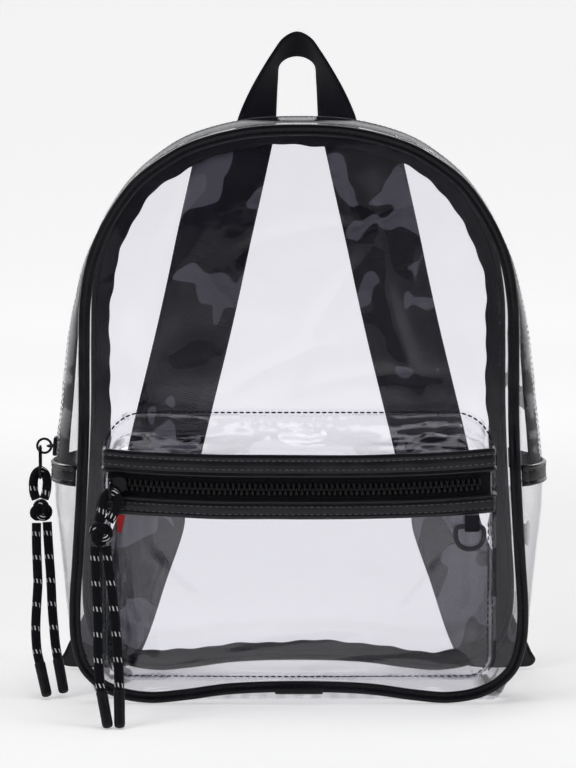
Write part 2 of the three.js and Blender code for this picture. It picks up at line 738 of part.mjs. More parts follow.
function strapSide(name, turn) {
  const strapFrames = bandFrames(strapRows.map((row) => strapCentre(row, turn)));
  const strapRings = bandRings(strapFrames, strapWidth / 2, strapThickness / 2, paddedSection);
  for (const point of strapRings[0]) point.z = flangeLevel(point.x) - clearance;
  addPiece(`strap_${name}`, ringSolid(strapRings), blackWebbing);

  const foot = strapFrames[strapFrames.length - 1];
  const across = foot.across.clone().multiplyScalar(turn);
  const plate = adjusterPlate();
  const lockCentre = foot.centre.clone().addScaledVector(foot.along, adjusterHeight / 2 + clearance);
  const face = new THREE.Vector3().crossVectors(across, foot.along);
  plate.applyMatrix4(new THREE.Matrix4().makeBasis(across, foot.along, face).setPosition(lockCentre));
  addPiece(`strap_adjuster_${name}`, plate, blackPlastic);

  const webbingStart = foot.centre.clone().addScaledVector(foot.along, adjusterHeight + 2 * clearance);
  const webbingNext = webbingStart.clone().addScaledVector(foot.along, webbingWidth / 4);
  const webbingCentres = [webbingStart, webbingNext, ...webbingRows.map((row) => webbingCentre(row, turn))];
  const webbingRings = bandRings(bandFrames(webbingCentres), webbingWidth / 2, webbingWall / 2, flatSection);
  addPiece(`strap_webbing_${name}`, ringSolid(webbingRings), blackWebbing);

  const lastRow = webbingRows[webbingRows.length - 1];
  const tabFront = strapGround + webbingWall + lastRow.off * strapStandOff + 2 * clearance;
  const tab = new THREE.Shape(tabRows.map((row) => new THREE.Vector2(turn * row.out * tabReach, row.up * tabRise)));
  addPiece(`strap_tab_${name}`, standingPlate(tab, tabWall, tabFront + tabWall), blackLeather);
}

strapSide('right', 1);
strapSide('left', -1);

// Front pocket. The front edge of its side wall is crowned, and the trims lift towards their ends.
function pocketEdge(x) {
  const share = Math.min(Math.abs(x) / pocketHalfWidth, 1);
  return frontLine - pocketCrown * (1 - share ** 2);
}

function liftAt(x) {
  return trimLift * Math.min(Math.abs(x) / pocketHalfWidth, 1) ** 3;
}

// Half of a round cornered loop from the zip level at the side to the middle of its far edge.
function loopHalf(halfWidth, split, edge, corner) {
  const upward = Math.sign(edge - split);
  const stations = [];
  const sideSteps = 3;
  const cornerSteps = 3;
  const flatSteps = 5;
  for (let k = 0; k < sideSteps; k += 1) {
    const z = THREE.MathUtils.lerp(split, edge - upward * corner, k / sideSteps);
    stations.push({ x: halfWidth, z, outX: 1, outZ: 0 });
  }
  for (let k = 0; k <= cornerSteps; k += 1) {
    const angle = (Math.PI / 2) * (k / cornerSteps);
    const outX = Math.cos(angle);
    const outZ = upward * Math.sin(angle);
    stations.push({ x: halfWidth - corner + corner * outX, z: edge - upward * corner + corner * outZ, outX, outZ });
  }
  for (let k = 1; k <= flatSteps; k += 1) {
    stations.push({ x: (halfWidth - corner) * (1 - k / flatSteps), z: edge, outX: 0, outZ: upward });
  }
  return stations;
}

function wholeLoop(half) {
  const mirrored = half.slice(0, -1).reverse();
  return [...half, ...mirrored.map((place) => ({ ...place, x: -place.x, outX: -place.outX }))];
}

const trimLowerTop = pocketFrontTop - trimUpperHeight - trimGap;
const pocketSplit = trimLowerTop + trimGap / 2;

// The wall between the front edge of the pocket and its seam on the front panel.
function pocketWall(frontLoop, backLoop, sag) {
  const steps = frontLoop.length - 1;
  return sheetSolid(steps, 4, (along, across, side) => {
    const front = frontLoop[Math.round(along * steps)];
    const back = backLoop[Math.round(along * steps)];
    const inset = (side === 0 ? 0 : sheetWall) + sag * Math.sin(Math.PI * across) * Math.abs(front.outZ);
    const frontDepth = pocketEdge(front.x) + clearance;
    return new THREE.Vector3(
      THREE.MathUtils.lerp(front.x, back.x, across) - front.outX * inset,
      THREE.MathUtils.lerp(frontDepth, -halfDepth - clearance, across),
      THREE.MathUtils.lerp(front.z, back.z, across) - front.outZ * inset,
    );
  });
}

const lowerSplit = pocketSplit - clearance / 2;
const upperSplit = pocketSplit + clearance / 2;
const lowerFront = wholeLoop(loopHalf(pocketHalfWidth, lowerSplit, pocketFloor, pocketCorner));
const lowerBack = wholeLoop(loopHalf(pocketBackHalfWidth, lowerSplit, pocketBackFloor, pocketCorner));
const upperFront = wholeLoop(loopHalf(pocketHalfWidth, upperSplit, pocketFrontTop, pocketCorner));
const upperBack = wholeLoop(loopHalf(pocketBackHalfWidth, upperSplit, pocketBackTop, pocketSeamCorner));
addPiece('pocket_gusset', pocketWall(lowerFront, lowerBack, 0), clearSheet);
addPiece('pocket_top', pocketWall(upperFront, upperBack, pocketSag), clearSheet);

// A place across the front, closer together towards the ends.
const spreadAcross = (along, half) => half * Math.sin((along - 0.5) * Math.PI);

const trimLowerBottom = trimLowerTop - trimLowerHeight;
const pocketPanel = sheetSolid(14, 3, (along, across, side) => {
  const x = spreadAcross(along, pocketHalfWidth);
  const past = Math.max(Math.abs(x) - (pocketHalfWidth - pocketCorner), 0);
  const bottom = pocketFloor + pocketCorner - Math.sqrt(Math.max(pocketCorner ** 2 - past ** 2, 0));
  const top = trimLowerBottom + liftAt(x) - clearance;
  return new THREE.Vector3(x, pocketEdge(x) - (side === 0 ? sheetWall : 0), THREE.MathUtils.lerp(bottom, top, across));
});
addPiece('pocket_panel', pocketPanel, clearSheet);

// The trims run across the front and turn back round the ends. A place is given by its distance along.
const trimSide = pocketHalfWidth + clearance;
const trimStraight = trimSide - trimTurn;
const trimHalf = trimStraight + (trimTurn * Math.PI) / 2 + trimWrap;
const sideFlare = (pocketBackHalfWidth - pocketHalfWidth) / pocketDepth;

function trimPoint(distance, out, level) {
  const way = Math.sign(distance);
  const past = Math.abs(distance) - trimStraight;
  const cornerDepth = pocketEdge(trimStraight) + trimTurn;
  let x = Math.abs(distance);
  let y = pocketEdge(distance) - out;
  if (past > 0) {
    const angle = Math.min(past / trimTurn, Math.PI / 2);
    const back = Math.max(past - (trimTurn * Math.PI) / 2, 0);
    const flare = sideFlare * (back + trimTurn * (1 - Math.cos(angle)));
    x = trimStraight + (trimTurn + out) * Math.sin(angle) + flare;
    y = cornerDepth - (trimTurn + out) * Math.cos(angle) + back;
  }
  return new THREE.Vector3(way * x, y, level + liftAt(distance));
}

const trimMidSteps = 10;
const trimEnds = [trimHalf, trimStraight + (trimTurn * Math.PI) / 2, trimStraight + (trimTurn * Math.PI) / 4];
const trimStations = trimEnds.map((distance) => -distance);
for (let k = 0; k <= trimMidSteps; k += 1) {
  trimStations.push(spreadAcross(k / trimMidSteps, trimStraight));
}
trimStations.push(...trimEnds.reverse());
const trimStops = [0, 0.16, 0.24, 1];

function trimSolid(zipEdge, farEdge) {
  const steps = trimStations.length - 1;
  return sheetSolid(steps, 3, (along, across, side) => {
    const stop = trimStops[Math.round(across * 3)];
    const out = trimWall + (stop < 0.2 ? trimRib : 0);
    const level = THREE.MathUtils.lerp(zipEdge, farEdge, stop);
    return trimPoint(trimStations[Math.round(along * steps)], side === 0 ? out : 0, level);
  });
}

const trimUpperBottom = trimLowerTop + trimGap;
addPiece('pocket_trim_upper', trimSolid(trimUpperBottom, pocketFrontTop), blackLeather);
addPiece('pocket_trim_lower', trimSolid(trimLowerTop, trimLowerBottom), blackLeather);

// Zip tape behind the trims, and the chain in front of it.
function pocketStrip(halfWidth, low, high, outs) {
  return sheetSolid(14, 1, (along, across, side) => {
    const x = spreadAcross(along, halfWidth);
    return new THREE.Vector3(x, pocketEdge(x) - outs[side], THREE.MathUtils.lerp(low, high, across) + liftAt(x));
  });
}

const tapeHalf = pocketHalfWidth - 4;
const tapeLow = trimLowerTop - pocketTapeOverlap;
const tapeHigh = trimUpperBottom + pocketTapeOverlap;
const pocketTapeOuts = [-clearance, -clearance - pocketTapeWall];
addPiece('pocket_zip_tape', pocketStrip(tapeHalf, tapeLow, tapeHigh, pocketTapeOuts), blackWebbing);
const chainHalf = pocketHalfWidth - 6;
const pocketChainLow = pocketSplit - zipChainWidth / 2;
const pocketChainHigh = pocketSplit + zipChainWidth / 2;
const pocketChainOuts = [pocketChainProud, 0];
const pocketChain = pocketStrip(chainHalf, pocketChainLow, pocketChainHigh, pocketChainOuts);
addPiece('pocket_zip_chain', pocketChain, blackPlastic);

const pocketSliderLevel = pocketSplit + liftAt(pocketSliderAcross);
const pocketSliderBack = pocketEdge(pocketSliderAcross) - pocketChainProud - 2 * clearance;
const pocketSliderBody = new THREE.BoxGeometry(pocketSliderLength, pocketSliderHeight, pocketSliderWidth);
const pocketSliderDepth = pocketSliderBack - pocketSliderHeight / 2;
pocketSliderBody.translate(pocketSliderAcross, pocketSliderDepth, pocketSliderLevel);
const pocketSliderFace = pocketSliderBack - pocketSliderHeight;
const pocketPull = pocketLoopRoute[5];
const pocketSeat = new THREE.Vector3(pocketPull[0], pocketSliderFace, pocketPull[2]);
const pocketArch = archAt(pocketSeat, new THREE.Vector3(0, -1, 0));
addPiece('pocket_zip_slider', joined(pocketSliderBody, pocketArch), blackMetal);
const pocketRing = new THREE.TorusGeometry(pocketRingRadius, linkWire, 6, 14);
pocketRing.rotateY(Math.PI / 2);
const pocketRingDepth = pocketSliderFace - ringSeat - pocketRingRadius;
addPiece('pocket_pull_ring', pocketRing, blackMetal, [pocketPull[0], pocketRingDepth, pocketPull[2]]);

const mainPull = mainLoopRoute[5];
const linkLower = mainPull[2] - cordRadius - clearance - 2 * linkWire;
const linkUpper = mainRingCentre[2];
const mainLink = linkSolid(pullLinkHalfWidth, linkLower, linkUpper);
addPiece('main_pull_link', mainLink, blackMetal, [mainPull[0], mainPull[1], 0]);

// A small plain red tab sewn under the lower trim.
const redTab = new THREE.Shape();
const redTabTop = trimLowerBottom + liftAt(redTabAcross) - clearance;
redTab.moveTo(redTabAcross - redTabFoot, trimLowerBottom - redTabDrop);
redTab.lineTo(redTabAcross + redTabFoot, trimLowerBottom - redTabDrop);
redTab.lineTo(redTabAcross + redTabHalfWidth, redTabTop);
redTab.lineTo(redTabAcross - redTabHalfWidth, redTabTop);
redTab.closePath();
const redTabBack = pocketEdge(redTabAcross) - sheetWall - clearance;
addPiece('red_tab', standingPlate(redTab, redTabWall, redTabBack), redCloth);

// Ring and its tab. The bar of the ring runs along X inside the fold of the tab.
const ringTabOuter = ringWire + clearance + ringTabWall;
const ringBarDepth = pocketEdge(ringTabAcross) - sheetWall - 2 * clearance - ringTabOuter;
const ringTabTop = trimLowerBottom + liftAt(ringTabAcross) - 2 * clearance;
const ringTab = new THREE.Shape();
ringTab.moveTo(ringBarDepth + ringTabOuter, ringBarLevel);
ringTab.lineTo(ringBarDepth + ringTabOuter, ringTabTop);
ringTab.lineTo(ringBarDepth + ringTabOuter - 2 * ringTabWall, ringTabTop);
ringTab.lineTo(ringBarDepth - ringTabOuter, ringBarLevel);
ringTab.absarc(ringBarDepth, ringBarLevel, ringTabOuter, Math.PI, 2 * Math.PI);
const ringBore = new THREE.Path();
ringBore.absarc(ringBarDepth, ringBarLevel, ringWire + clearance, 0, 2 * Math.PI);
ringTab.holes.push(ringBore);
const ringTabSolid = new THREE.ExtrudeGeometry(ringTab, { depth: ringTabWidth, bevelEnabled: false, curveSegments: 6 });
ringTabSolid.applyMatrix4(new THREE.Matrix4().makeBasis(
  new THREE.Vector3(0, 1, 0),
  new THREE.Vector3(0, 0, 1),
  new THREE.Vector3(1, 0, 0),
));
addPiece('ring_tab', ringTabSolid, blackWebbing, [ringTabAcross - ringTabWidth / 2, 0, 0]);

// Half of the ring from the middle of its bar to its lowest point, in shares of half width and drop.
const ringRows = [
  { across: 0.72, down: 0 },
  { across: 0.95, down: 0.13 },
  { across: 1, down: 0.36 },
  { across: 0.88, down: 0.66 },
  { across: 0.52, down: 0.92 },
  { across: 0, down: 1 },
];
const ringHalf = ringRows.map((row) => [row.across * ringHalfWidth, -row.down * ringDrop]);
const ringPath = [...ringHalf, ...ringHalf.slice(0, -1).reverse().map(([x, z]) => [-x, z])];
const ringRings = ringPath.map(([x, z], k) => {
  const before = ringPath[(k + ringPath.length - 1) % ringPath.length];
  const after = ringPath[(k + 1) % ringPath.length];
  const tangent = new THREE.Vector2(after[0] - before[0], after[1] - before[1]).normalize();
  const ring = [];
  for (let j = 0; j < 8; j += 1) {
    const angle = (2 * Math.PI * j) / 8;
    const out = ringWire * Math.cos(angle);
    ring.push(new THREE.Vector3(x + tangent.y * out, ringWire * Math.sin(angle), z - tangent.x * out));
  }
  return ring;
});
addPiece('d_ring', ringSolid(ringRings, true), blackPlastic, [ringAcross, ringBarDepth, ringBarLevel]);

// Pull cords: loops, knots, tails and tips.
const asVectors = (route) => route.map((point) => new THREE.Vector3(...point));

function cordTube(route) {
  const path = new THREE.CatmullRomCurve3(asVectors(route));
  const section = new THREE.Shape();
  section.absarc(0, 0, cordRadius, 0, 2 * Math.PI);
  const steps = Math.max(Math.round(path.getLength() / (2.2 * 2 * cordRadius)), 10);
  const curveSegments = cordSides / 2;
  return new THREE.ExtrudeGeometry(section, { steps, curveSegments, bevelEnabled: false, extrudePath: path });
}

// A tip at the end of a route, in line with it.
function tipSolid(route) {
  const [before, from] = asVectors(route.slice(-2));
  const direction = from.clone().sub(before).normalize();
  const profile = [[0, 0], [0.9, 0], [1, 0.05], [1, 0.86], [0.8, 0.95], [0.4, 0.99], [0, 1]];
  const points = profile.map(([out, share]) => new THREE.Vector2(out * tipRadius, share * tipLength));
  const tip = new THREE.LatheGeometry(points, 8);
  tip.applyQuaternion(new THREE.Quaternion().setFromUnitVectors(new THREE.Vector3(0, 1, 0), direction));
  const place = from.addScaledVector(direction, clearance);
  tip.translate(place.x, place.y, place.z);
  return tip;
}

function pullCord(name, loopRoute, knotCentre, tailRoutes) {
  addPiece(`${name}_cord_loop`, cordTube(loopRoute), blackCord);
  const knot = new THREE.SphereGeometry(knotRadius, 10, 8);
  knot.scale(1, 0.9, 0.98);
  addPiece(`${name}_cord_knot`, knot, blackCord, knotCentre);
  tailRoutes.forEach((route, k) => {
    const letter = 'ab'[k];
    addPiece(`${name}_cord_tail_${letter}`, cordTube(route), blackCord);
    addPiece(`${name}_cord_tip_${letter}`, tipSolid(route), blackPlastic);
  });
}

pullCord('main', mainLoopRoute, mainKnotCentre, [mainTailRouteA, mainTailRouteB]);
pullCord('pocket', pocketLoopRoute, pocketKnotCentre, [pocketTailRouteA, pocketTailRouteB]);

export default bag;
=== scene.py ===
"""Clear stadium backpack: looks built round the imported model, in millimetres until a mesh is made."""
import math
import bpy
import numpy as np
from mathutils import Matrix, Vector, noise


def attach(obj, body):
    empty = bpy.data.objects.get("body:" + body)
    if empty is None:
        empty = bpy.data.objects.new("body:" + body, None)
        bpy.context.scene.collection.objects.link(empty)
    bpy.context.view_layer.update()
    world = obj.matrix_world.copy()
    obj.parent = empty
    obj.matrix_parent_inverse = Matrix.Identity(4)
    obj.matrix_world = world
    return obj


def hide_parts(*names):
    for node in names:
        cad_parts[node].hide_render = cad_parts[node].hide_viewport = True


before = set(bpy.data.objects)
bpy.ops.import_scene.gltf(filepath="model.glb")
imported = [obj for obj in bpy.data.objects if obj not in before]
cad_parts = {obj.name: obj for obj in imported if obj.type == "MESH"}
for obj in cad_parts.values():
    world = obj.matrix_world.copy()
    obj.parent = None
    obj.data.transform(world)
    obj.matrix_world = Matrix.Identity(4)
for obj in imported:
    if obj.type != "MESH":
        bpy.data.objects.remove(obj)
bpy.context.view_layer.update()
MM = 0.001

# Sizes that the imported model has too
BODY_HEIGHT = 304
BODY_HALF_WIDTH = 120.6
BODY_DEPTH = 115
HALF_DEPTH = BODY_DEPTH / 2
SHEET_WALL = 1.2
THIN_SHEET = 0.6
CLEARANCE = 0.3
SIDE_BULGE = 14
CREST_POWER = 0.625
PIPING_RADIUS = 1.75
PIPING_PROUD = 0.4
PIPING_WIDTH = 6
EDGE_SETBACK = PIPING_RADIUS - PIPING_PROUD + CLEARANCE
GUSSET_RUN = BODY_DEPTH - 2 * EDGE_SETBACK
BAND_LEVEL = 120
BAND_HEIGHT = 11
ZIP_SETBACK = 54
ZIP_FRONT = 42
ZIP_BACK = 66
HANDLE_CENTRE = -0.7
HANDLE_LEG_INNER = 11.6
HANDLE_WIDTH = 22.8
HANDLE_RISE = 51
STRAP_WIDTH = 41
STRAP_THICKNESS = 5
STRAP_TOP = 300
STRAP_END = 118
STRAP_STAND_OFF = 14
STRAP_GROUND = HALF_DEPTH + CLEARANCE
WEBBING_WIDTH = 38
ADJUSTER_HEIGHT = 20
POCKET_DEPTH = 48
POCKET_HALF_WIDTH = 98
POCKET_FLOOR = 21
POCKET_TOP = 136
SEAM_HALF_WIDTH = 101
SEAM_TOP = 153
SEAM_FLOOR = 15
POCKET_CROWN = 4
POCKET_CORNER = 12
SEAM_CORNER = 20
FRONT_LINE = -HALF_DEPTH - POCKET_DEPTH
TRIM_UPPER_BOTTOM = 124
TRIM_LOWER_TOP = 113
TRIM_LOWER_BOTTOM = 103
TRIM_LIFT = 3
ZIP_LEVEL = 118.5
TOOTH_PITCH = 2.75
RING_WIRE = 1.3
RING_HALF_WIDTH = 7.2
RING_DROP = 11.4
RING_ACROSS = 86.8
RING_BAR_LEVEL = 99.5
TAB_ACROSS = 88
CORD_RADIUS = 2.5
TIP_RADIUS = 2.9
TIP_LENGTH = 19
LINK_WIRE = 0.7
LINK_HALF_WIDTH = 3.7
MAIN_RING_RADIUS = 3.8
POCKET_RING_RADIUS = 4.5
ARCH_RADIUS = 3.0
ARCH_WIRE = 0.8
MAIN_TAPE_EDGES = (39, 69)
POCKET_TAPE_HALF = 97.6
POCKET_CHAIN_HALF = 92
POCKET_SLIDER = -92.5
RED_TAB_ACROSS = -90.7
RED_TAB_END = 96
ADJUSTER_HALF_WIDTH = 23.2
ADJUSTER_WIRE = 1.6
STRAP_SEAM = 16.2
TAB_REACH = 133
TAB_RISE = 21
FLECK_PITCH = 13
FLECK_LANES = 7

SEAM = {
    "across": [0, 0.3, 0.5, 0.65, 0.79, 0.89, 0.958, 0.992, 1, 0.986, 0.97, 0.957, 0.955, 0.949,
               0.916, 0.845, 0.726, 0.606, 0.478, 0.25, 0],
    "up": [0.0204, 0.0164, 0.006, 0.0015, 0.0105, 0.031, 0.061, 0.105, 0.16, 0.255, 0.36, 0.49, 0.62, 0.697,
           0.77, 0.836, 0.903, 0.941, 0.969, 0.9935, 1],
}
BULGE = {
    "up": [0, 0.066, 0.13, 0.184, 0.253, 0.329, 0.395, 0.46, 0.526, 0.628, 0.697, 0.806, 0.905, 0.97, 1],
    "bulge": [0, 0, 0.08, 0.29, 0.57, 0.88, 1, 0.93, 0.79, 0.57, 0.32, 0.1, 0.14, 0.27, 0.3],
}
HANDLE = {
    "outer": [1, 0.89, 0.65, 0.37, 0.06, -0.2, -0.51],
    "outer_rise": [0, 0.15, 0.37, 0.58, 0.79, 0.94, 1],
    "inner": [0, 0, -0.01, -0.03, -0.07, -0.25, -0.51],
    "inner_rise": [0, 0.13, 0.31, 0.5, 0.66, 0.73, 0.755],
    "turn": [0, 0.45, 0.76, 0.92, 0.96, 0.88, 0.83],
}
STRAP = {
    "up": [1, 0.85, 0.68, 0.52, 0.36, 0.21, 0.1, 0],
    "across": [0.281, 0.331, 0.389, 0.441, 0.497, 0.553, 0.594, 0.629],
    "off": [0, 0, 0.07, 0.38, 0.76, 0.96, 1, 0.92],
}
WEBBING = {"up": [0.71, 0.47, 0.23, 0.09], "across": [0.684, 0.763, 0.84, 0.9], "off": [0.66, 0.4, 0.2, 0.18]}
TAB = {"out": [0.69, 0.93, 0.985, 1, 0.985, 0.93, 0.72], "up": [0.2, 0.07, 0.12, 0.27, 0.46, 1, 0.92]}

# Routes of the pull cords
MAIN_LOOP = [
    (-141.2, -8.2, 103.2), (-142.4, -7.6, 106.4), (-142.8, -6.8, 110), (-142.7, -6, 113.2),
    (-141.6, -5.3, 116.6), (-139.1, -5, 118.4), (-136.6, -5.3, 116.6), (-135.5, -6, 113.2),
    (-135.5, -6.8, 110), (-136, -7.6, 106.4), (-137, -8.2, 103.2),
]
POCKET_LOOP = [
    (-101.6, -117.2, 102.8), (-100.7, -117.3, 106), (-99.8, -117.3, 109.4), (-99.3, -117.3, 112.6),
    (-98.3, -117.3, 115.8), (-95.6, -117.3, 117.8), (-92.9, -117.3, 115.8), (-92, -117.3, 112.6),
    (-92.6, -117.3, 109.4), (-94.4, -117.3, 106), (-96.4, -117.2, 103),
]
MAIN_TAIL_A = [
    (-140.9, -11.3, 90.6), (-140.9, -12, 85.5), (-140.8, -13.1, 80.4), (-140.6, -14.4, 75.3),
    (-140.3, -15.9, 70.2), (-140, -17.6, 65.1), (-139.7, -19.4, 60), (-139.8, -21.3, 54.9),
    (-140, -23.3, 49.7), (-140.2, -25.4, 44.5), (-140.3, -27.5, 39.3), (-140.2, -29.7, 34.1),
    (-139.8, -31.9, 28.9), (-139.1, -34.1, 23.7), (-137.8, -36.3, 18.8),
]
MAIN_TAIL_B = [
    (-135.3, -9.4, 90.9), (-135, -9.7, 86), (-134.7, -10.5, 81), (-134.3, -11.6, 75.9),
    (-133.9, -12.9, 70.8), (-133.4, -14.4, 65.7), (-133, -16, 60.6), (-132.6, -17.7, 55.5),
    (-132.3, -19.5, 50.4), (-131.9, -21.4, 45.3), (-131.4, -23.3, 40.2), (-130.8, -25.3, 35.1),
    (-130.2, -27.4, 30), (-129.4, -29.5, 24.9), (-128.4, -31.6, 20.2),
]
POCKET_TAIL_A = [
    (-103.6, -117.6, 90.1), (-103.5, -117.9, 84.8), (-103.2, -118.5, 79.5), (-103, -119.3, 74.2),
    (-102.7, -120.2, 68.9), (-102.3, -121.2, 63.6), (-102, -122.3, 58.3), (-101.8, -123.4, 53),
    (-101.7, -124.6, 47.7), (-101.7, -125.8, 42.4), (-101.6, -127, 37.1), (-101.4, -128.2, 31.8),
    (-101, -129.4, 26.5), (-100.5, -130.5, 22), (-99.8, -131.7, 18.6),
]
POCKET_TAIL_B = [
    (-97.8, -117.4, 90.2), (-97.1, -117.7, 85.1), (-96.6, -118.3, 80), (-95.8, -119.1, 74.9),
    (-95.1, -120, 69.8), (-94.4, -121, 64.6), (-93.8, -122.1, 59.4), (-93.2, -123.2, 54.2),
    (-92.7, -124.4, 49), (-92.2, -125.6, 43.7), (-91.8, -126.8, 38.4), (-91.4, -128, 33.1),
    (-91.1, -129.2, 27.8), (-90.9, -130.4, 22.7), (-90.8, -131.7, 18.9),
]
MAIN_KNOT = (-138.5, -9.8, 97)
POCKET_KNOT = (-100.6, -117.4, 96.5)

scene = bpy.context.scene
scene.view_settings.view_transform = "Standard"
scene.cycles.transparent_max_bounces = 40
scene.cycles.max_bounces = 10
scene.cycles.sample_clamp_indirect = 4

camera = bpy.data.objects.new("camera", bpy.data.cameras.new("camera"))
scene.collection.objects.link(camera)
camera.location = (-0.0057, -1.8575, 0.290)
camera.rotation_euler = (math.radians(90 - 3.86), 0, 0)
camera.data.lens = 161.8
camera.data.sensor_width = 36
scene.camera = camera


# ---- Values inside a material, and the material that holds them ----
class Value:
    """A socket of a material. Sums on it add Math nodes."""

    def __init__(self, finish, socket):
        self.finish = finish
        self.socket = socket

    def math(self, operation, *others):
        return self.finish.node("ShaderNodeMath", {"operation": operation}, dict(enumerate([self, *others])))

    def __add__(self, other):
        return self.math("ADD", other)

    __radd__ = __add__

    def __mul__(self, other):
        return self.math("MULTIPLY", other)

    __rmul__ = __mul__

    def __sub__(self, other):
        return self.math("SUBTRACT", other)

    def __rsub__(self, other):
        return (self * -1) + other

    def __pow__(self, other):
        return self.math("POWER", other)

    def __abs__(self):
        return self.math("ABSOLUTE")

    def sine(self):
        return self.math("SINE")

    def fraction(self):
        return self.math("FRACT")

    def sibling(self, out):
        """Another output of the same node."""
        return Value(self.finish, self.socket.node.outputs[out])

    def ramp(self, low, high, from_value=0, to_value=1):
        """A soft step between two values."""
        return self.finish.node(
            "ShaderNodeMapRange", {"interpolation_type": "SMOOTHSTEP"},
            {0: self, 1: low, 2: high, 3: from_value, 4: to_value})


class Finish:
    """A material of this bag."""

    def __init__(self, name):
        self.material = bpy.data.materials.new(name)
        self.material.use_nodes = True
        self.tree = self.material.node_tree
        self.tree.nodes.clear()

    def node(self, kind, settings=(), values=(), out=0):
        node = self.tree.nodes.new(kind)
        for key, value in dict(settings).items():
            setattr(node, key, value)
        for key, value in dict(values).items():
            if isinstance(value, Value):
                self.tree.links.new(value.socket, node.inputs[key])
            else:
                node.inputs[key].default_value = value
        return Value(self, node.outputs[out])

    def place(self, scale=(1, 1, 1)):
        """Position on the bag in metres, stretched by a scale."""
        coordinates = self.node("ShaderNodeTexCoord", out="Object")
        return self.node("ShaderNodeVectorMath", {"operation": "MULTIPLY"}, {0: coordinates, 1: scale})

    def weave(self):
        """Distances along and across a piece in millimetres."""
        stored = self.node("ShaderNodeAttribute", {"attribute_name": "weave"}, out="Vector")
        split = self.node("ShaderNodeSeparateXYZ", (), {0: stored})
        return split, split.sibling(1)

    def noise(self, scale, detail=2, where=None, stretch=0):
        return self.node("ShaderNodeTexNoise", (), {
            "Vector": where or self.place(), "Scale": scale, "Detail": detail, "Distortion": stretch})

    def cells(self, scale, feature="F1", where=None):
        return self.node("ShaderNodeTexVoronoi", {"feature": feature}, {
            "Vector": where or self.place(), "Scale": scale}, out="Distance")

    def mix(self, factor, first, second):
        return self.node("ShaderNodeMix", {"data_type": "RGBA"}, {0: factor, 6: first, 7: second}, out=2)

    def bump(self, height, depth, strength=1):
        return self.node("ShaderNodeBump", (), {"Height": height, "Distance": depth, "Strength": strength})

    def shader(self, **values):
        names = {key: key.replace("_", " ").title().replace("Ior", "IOR") for key in values}
        return self.node("ShaderNodeBsdfPrincipled", (), {names[key]: value for key, value in values.items()})

    def done(self, shader):
        output = self.tree.nodes.new("ShaderNodeOutputMaterial")
        self.tree.links.new(shader.socket, output.inputs["Surface"])
        return self.material


def paler(colour, times, more):
    return tuple(c * times + more for c in colour) + (1,)


def clear_finish(name, haze, tint, ripple, dark_reflection_weight=0.0):
    """Clear soft plastic: see-through, glossier seen edge on, with faint ripples and scuffs.

    A painted dark reflection adds dusky patches low on the outer sides, standing in for the dark things round
    the bag that the sides would mirror.
    """
    finish = Finish(name)
    ripples = finish.noise(26, 3, stretch=0.6) + finish.noise(9, 1) * 1.6
    normal = finish.bump(ripples, 0.0008, ripple)
    facing = finish.node("ShaderNodeLayerWeight", (), {"Blend": 0.5, "Normal": normal}, out="Facing")
    gloss_share = facing ** 5 * 0.34 + 0.03
    through = finish.node("ShaderNodeBsdfTransparent", (), {"Color": (*tint, 1)})
    gloss = finish.shader(base_color=(0.97, 0.97, 1, 1), metallic=1.0, roughness=0.045, normal=normal)
    sheet = finish.node("ShaderNodeMixShader", (), {0: gloss_share, 1: through, 2: gloss})
    scuffs = finish.noise(160, 4, finish.place((1, 1, 0.3))).ramp(0.5, 0.72) * 0.002 + haze
    cloudy = finish.shader(base_color=(0.72, 0.72, 0.8, 1), roughness=0.55, normal=normal)
    veiled = finish.node("ShaderNodeMixShader", (), {0: scuffs, 1: sheet, 2: cloudy})
    if not dark_reflection_weight:
        return finish.done(veiled)
    place = finish.node("ShaderNodeSeparateXYZ", (), {0: finish.place()})
    level = place.sibling(2)
    right = place.ramp(0.094, 0.102) * place.ramp(0.123, 0.117)
    outer = right + place.ramp(-0.088, -0.096) * place.ramp(-0.112, -0.106)
    # Painted dark reflection: patches and streaks low on the outer sides, where a dark shader is mixed in
    spots = finish.noise(62, 2.4, finish.place((1.0, 0.55, 0.45)), 0.7).ramp(0.545, 0.565)
    reflection_streaks = finish.noise(34, 2, finish.place((1.6, 0.4, 0.22)), 1.1).ramp(0.60, 0.62)
    reflected = (spots + reflection_streaks).ramp(0, 1) * outer * level.ramp(0.24, 0.20) * dark_reflection_weight
    painted_dark_reflection = finish.shader(
        base_color=(0.010, 0.014, 0.019, 1), roughness=0.3, specular_ior_level=0.2, normal=normal)
    return finish.done(finish.node("ShaderNodeMixShader", (), {0: reflected, 1: veiled, 2: painted_dark_reflection}))


def leather_finish(name, colour, rough=0.4, coat=0.15):
    """Coated imitation leather with a fine pebble grain and faint creases."""
    finish = Finish(name)
    pebbles = finish.cells(1500)
    creases = finish.noise(240, 4, stretch=1.2)
    wear = finish.noise(45, 3).ramp(0.45, 0.75)
    base = finish.mix(wear * 0.35, (*colour, 1), paler(colour, 2.4, 0.004))
    return finish.done(finish.shader(
        base_color=base, roughness=finish.noise(320, 2) * 0.22 + (rough - 0.1) + wear * 0.05,
        specular_ior_level=0.3, coat_weight=wear * -0.5 * coat + coat,
        normal=finish.bump(pebbles * 0.6 + creases * 0.8, 0.00012, 0.6)))


def webbing_finish(name, colour, rib=1.5, chevron=5.0):
    """Woven tape: rows of small chevrons with fuzzy yarns."""
    finish = Finish(name)
    along, across = finish.weave()
    point = abs((across * (1 / chevron)).fraction() - 0.5)
    rows = ((along + point * chevron * 1.1) * (2 * math.pi / rib)).sine()
    yarns = (across * (2 * math.pi / 0.62)).sine()
    fuzz = finish.noise(2200, 3)
    height = rows * 0.5 + yarns * 0.25 + fuzz * 0.7
    base = finish.mix((rows * 0.25 + 0.3) + fuzz * 0.3, (*colour, 1), paler(colour, 2.2, 0.006))
    return finish.done(finish.shader(
        base_color=base, roughness=0.8 - rows * 0.08, specular_ior_level=0.14, sheen_weight=0.04,
        sheen_roughness=0.5, normal=finish.bump(height, 0.0002, 0.8)))


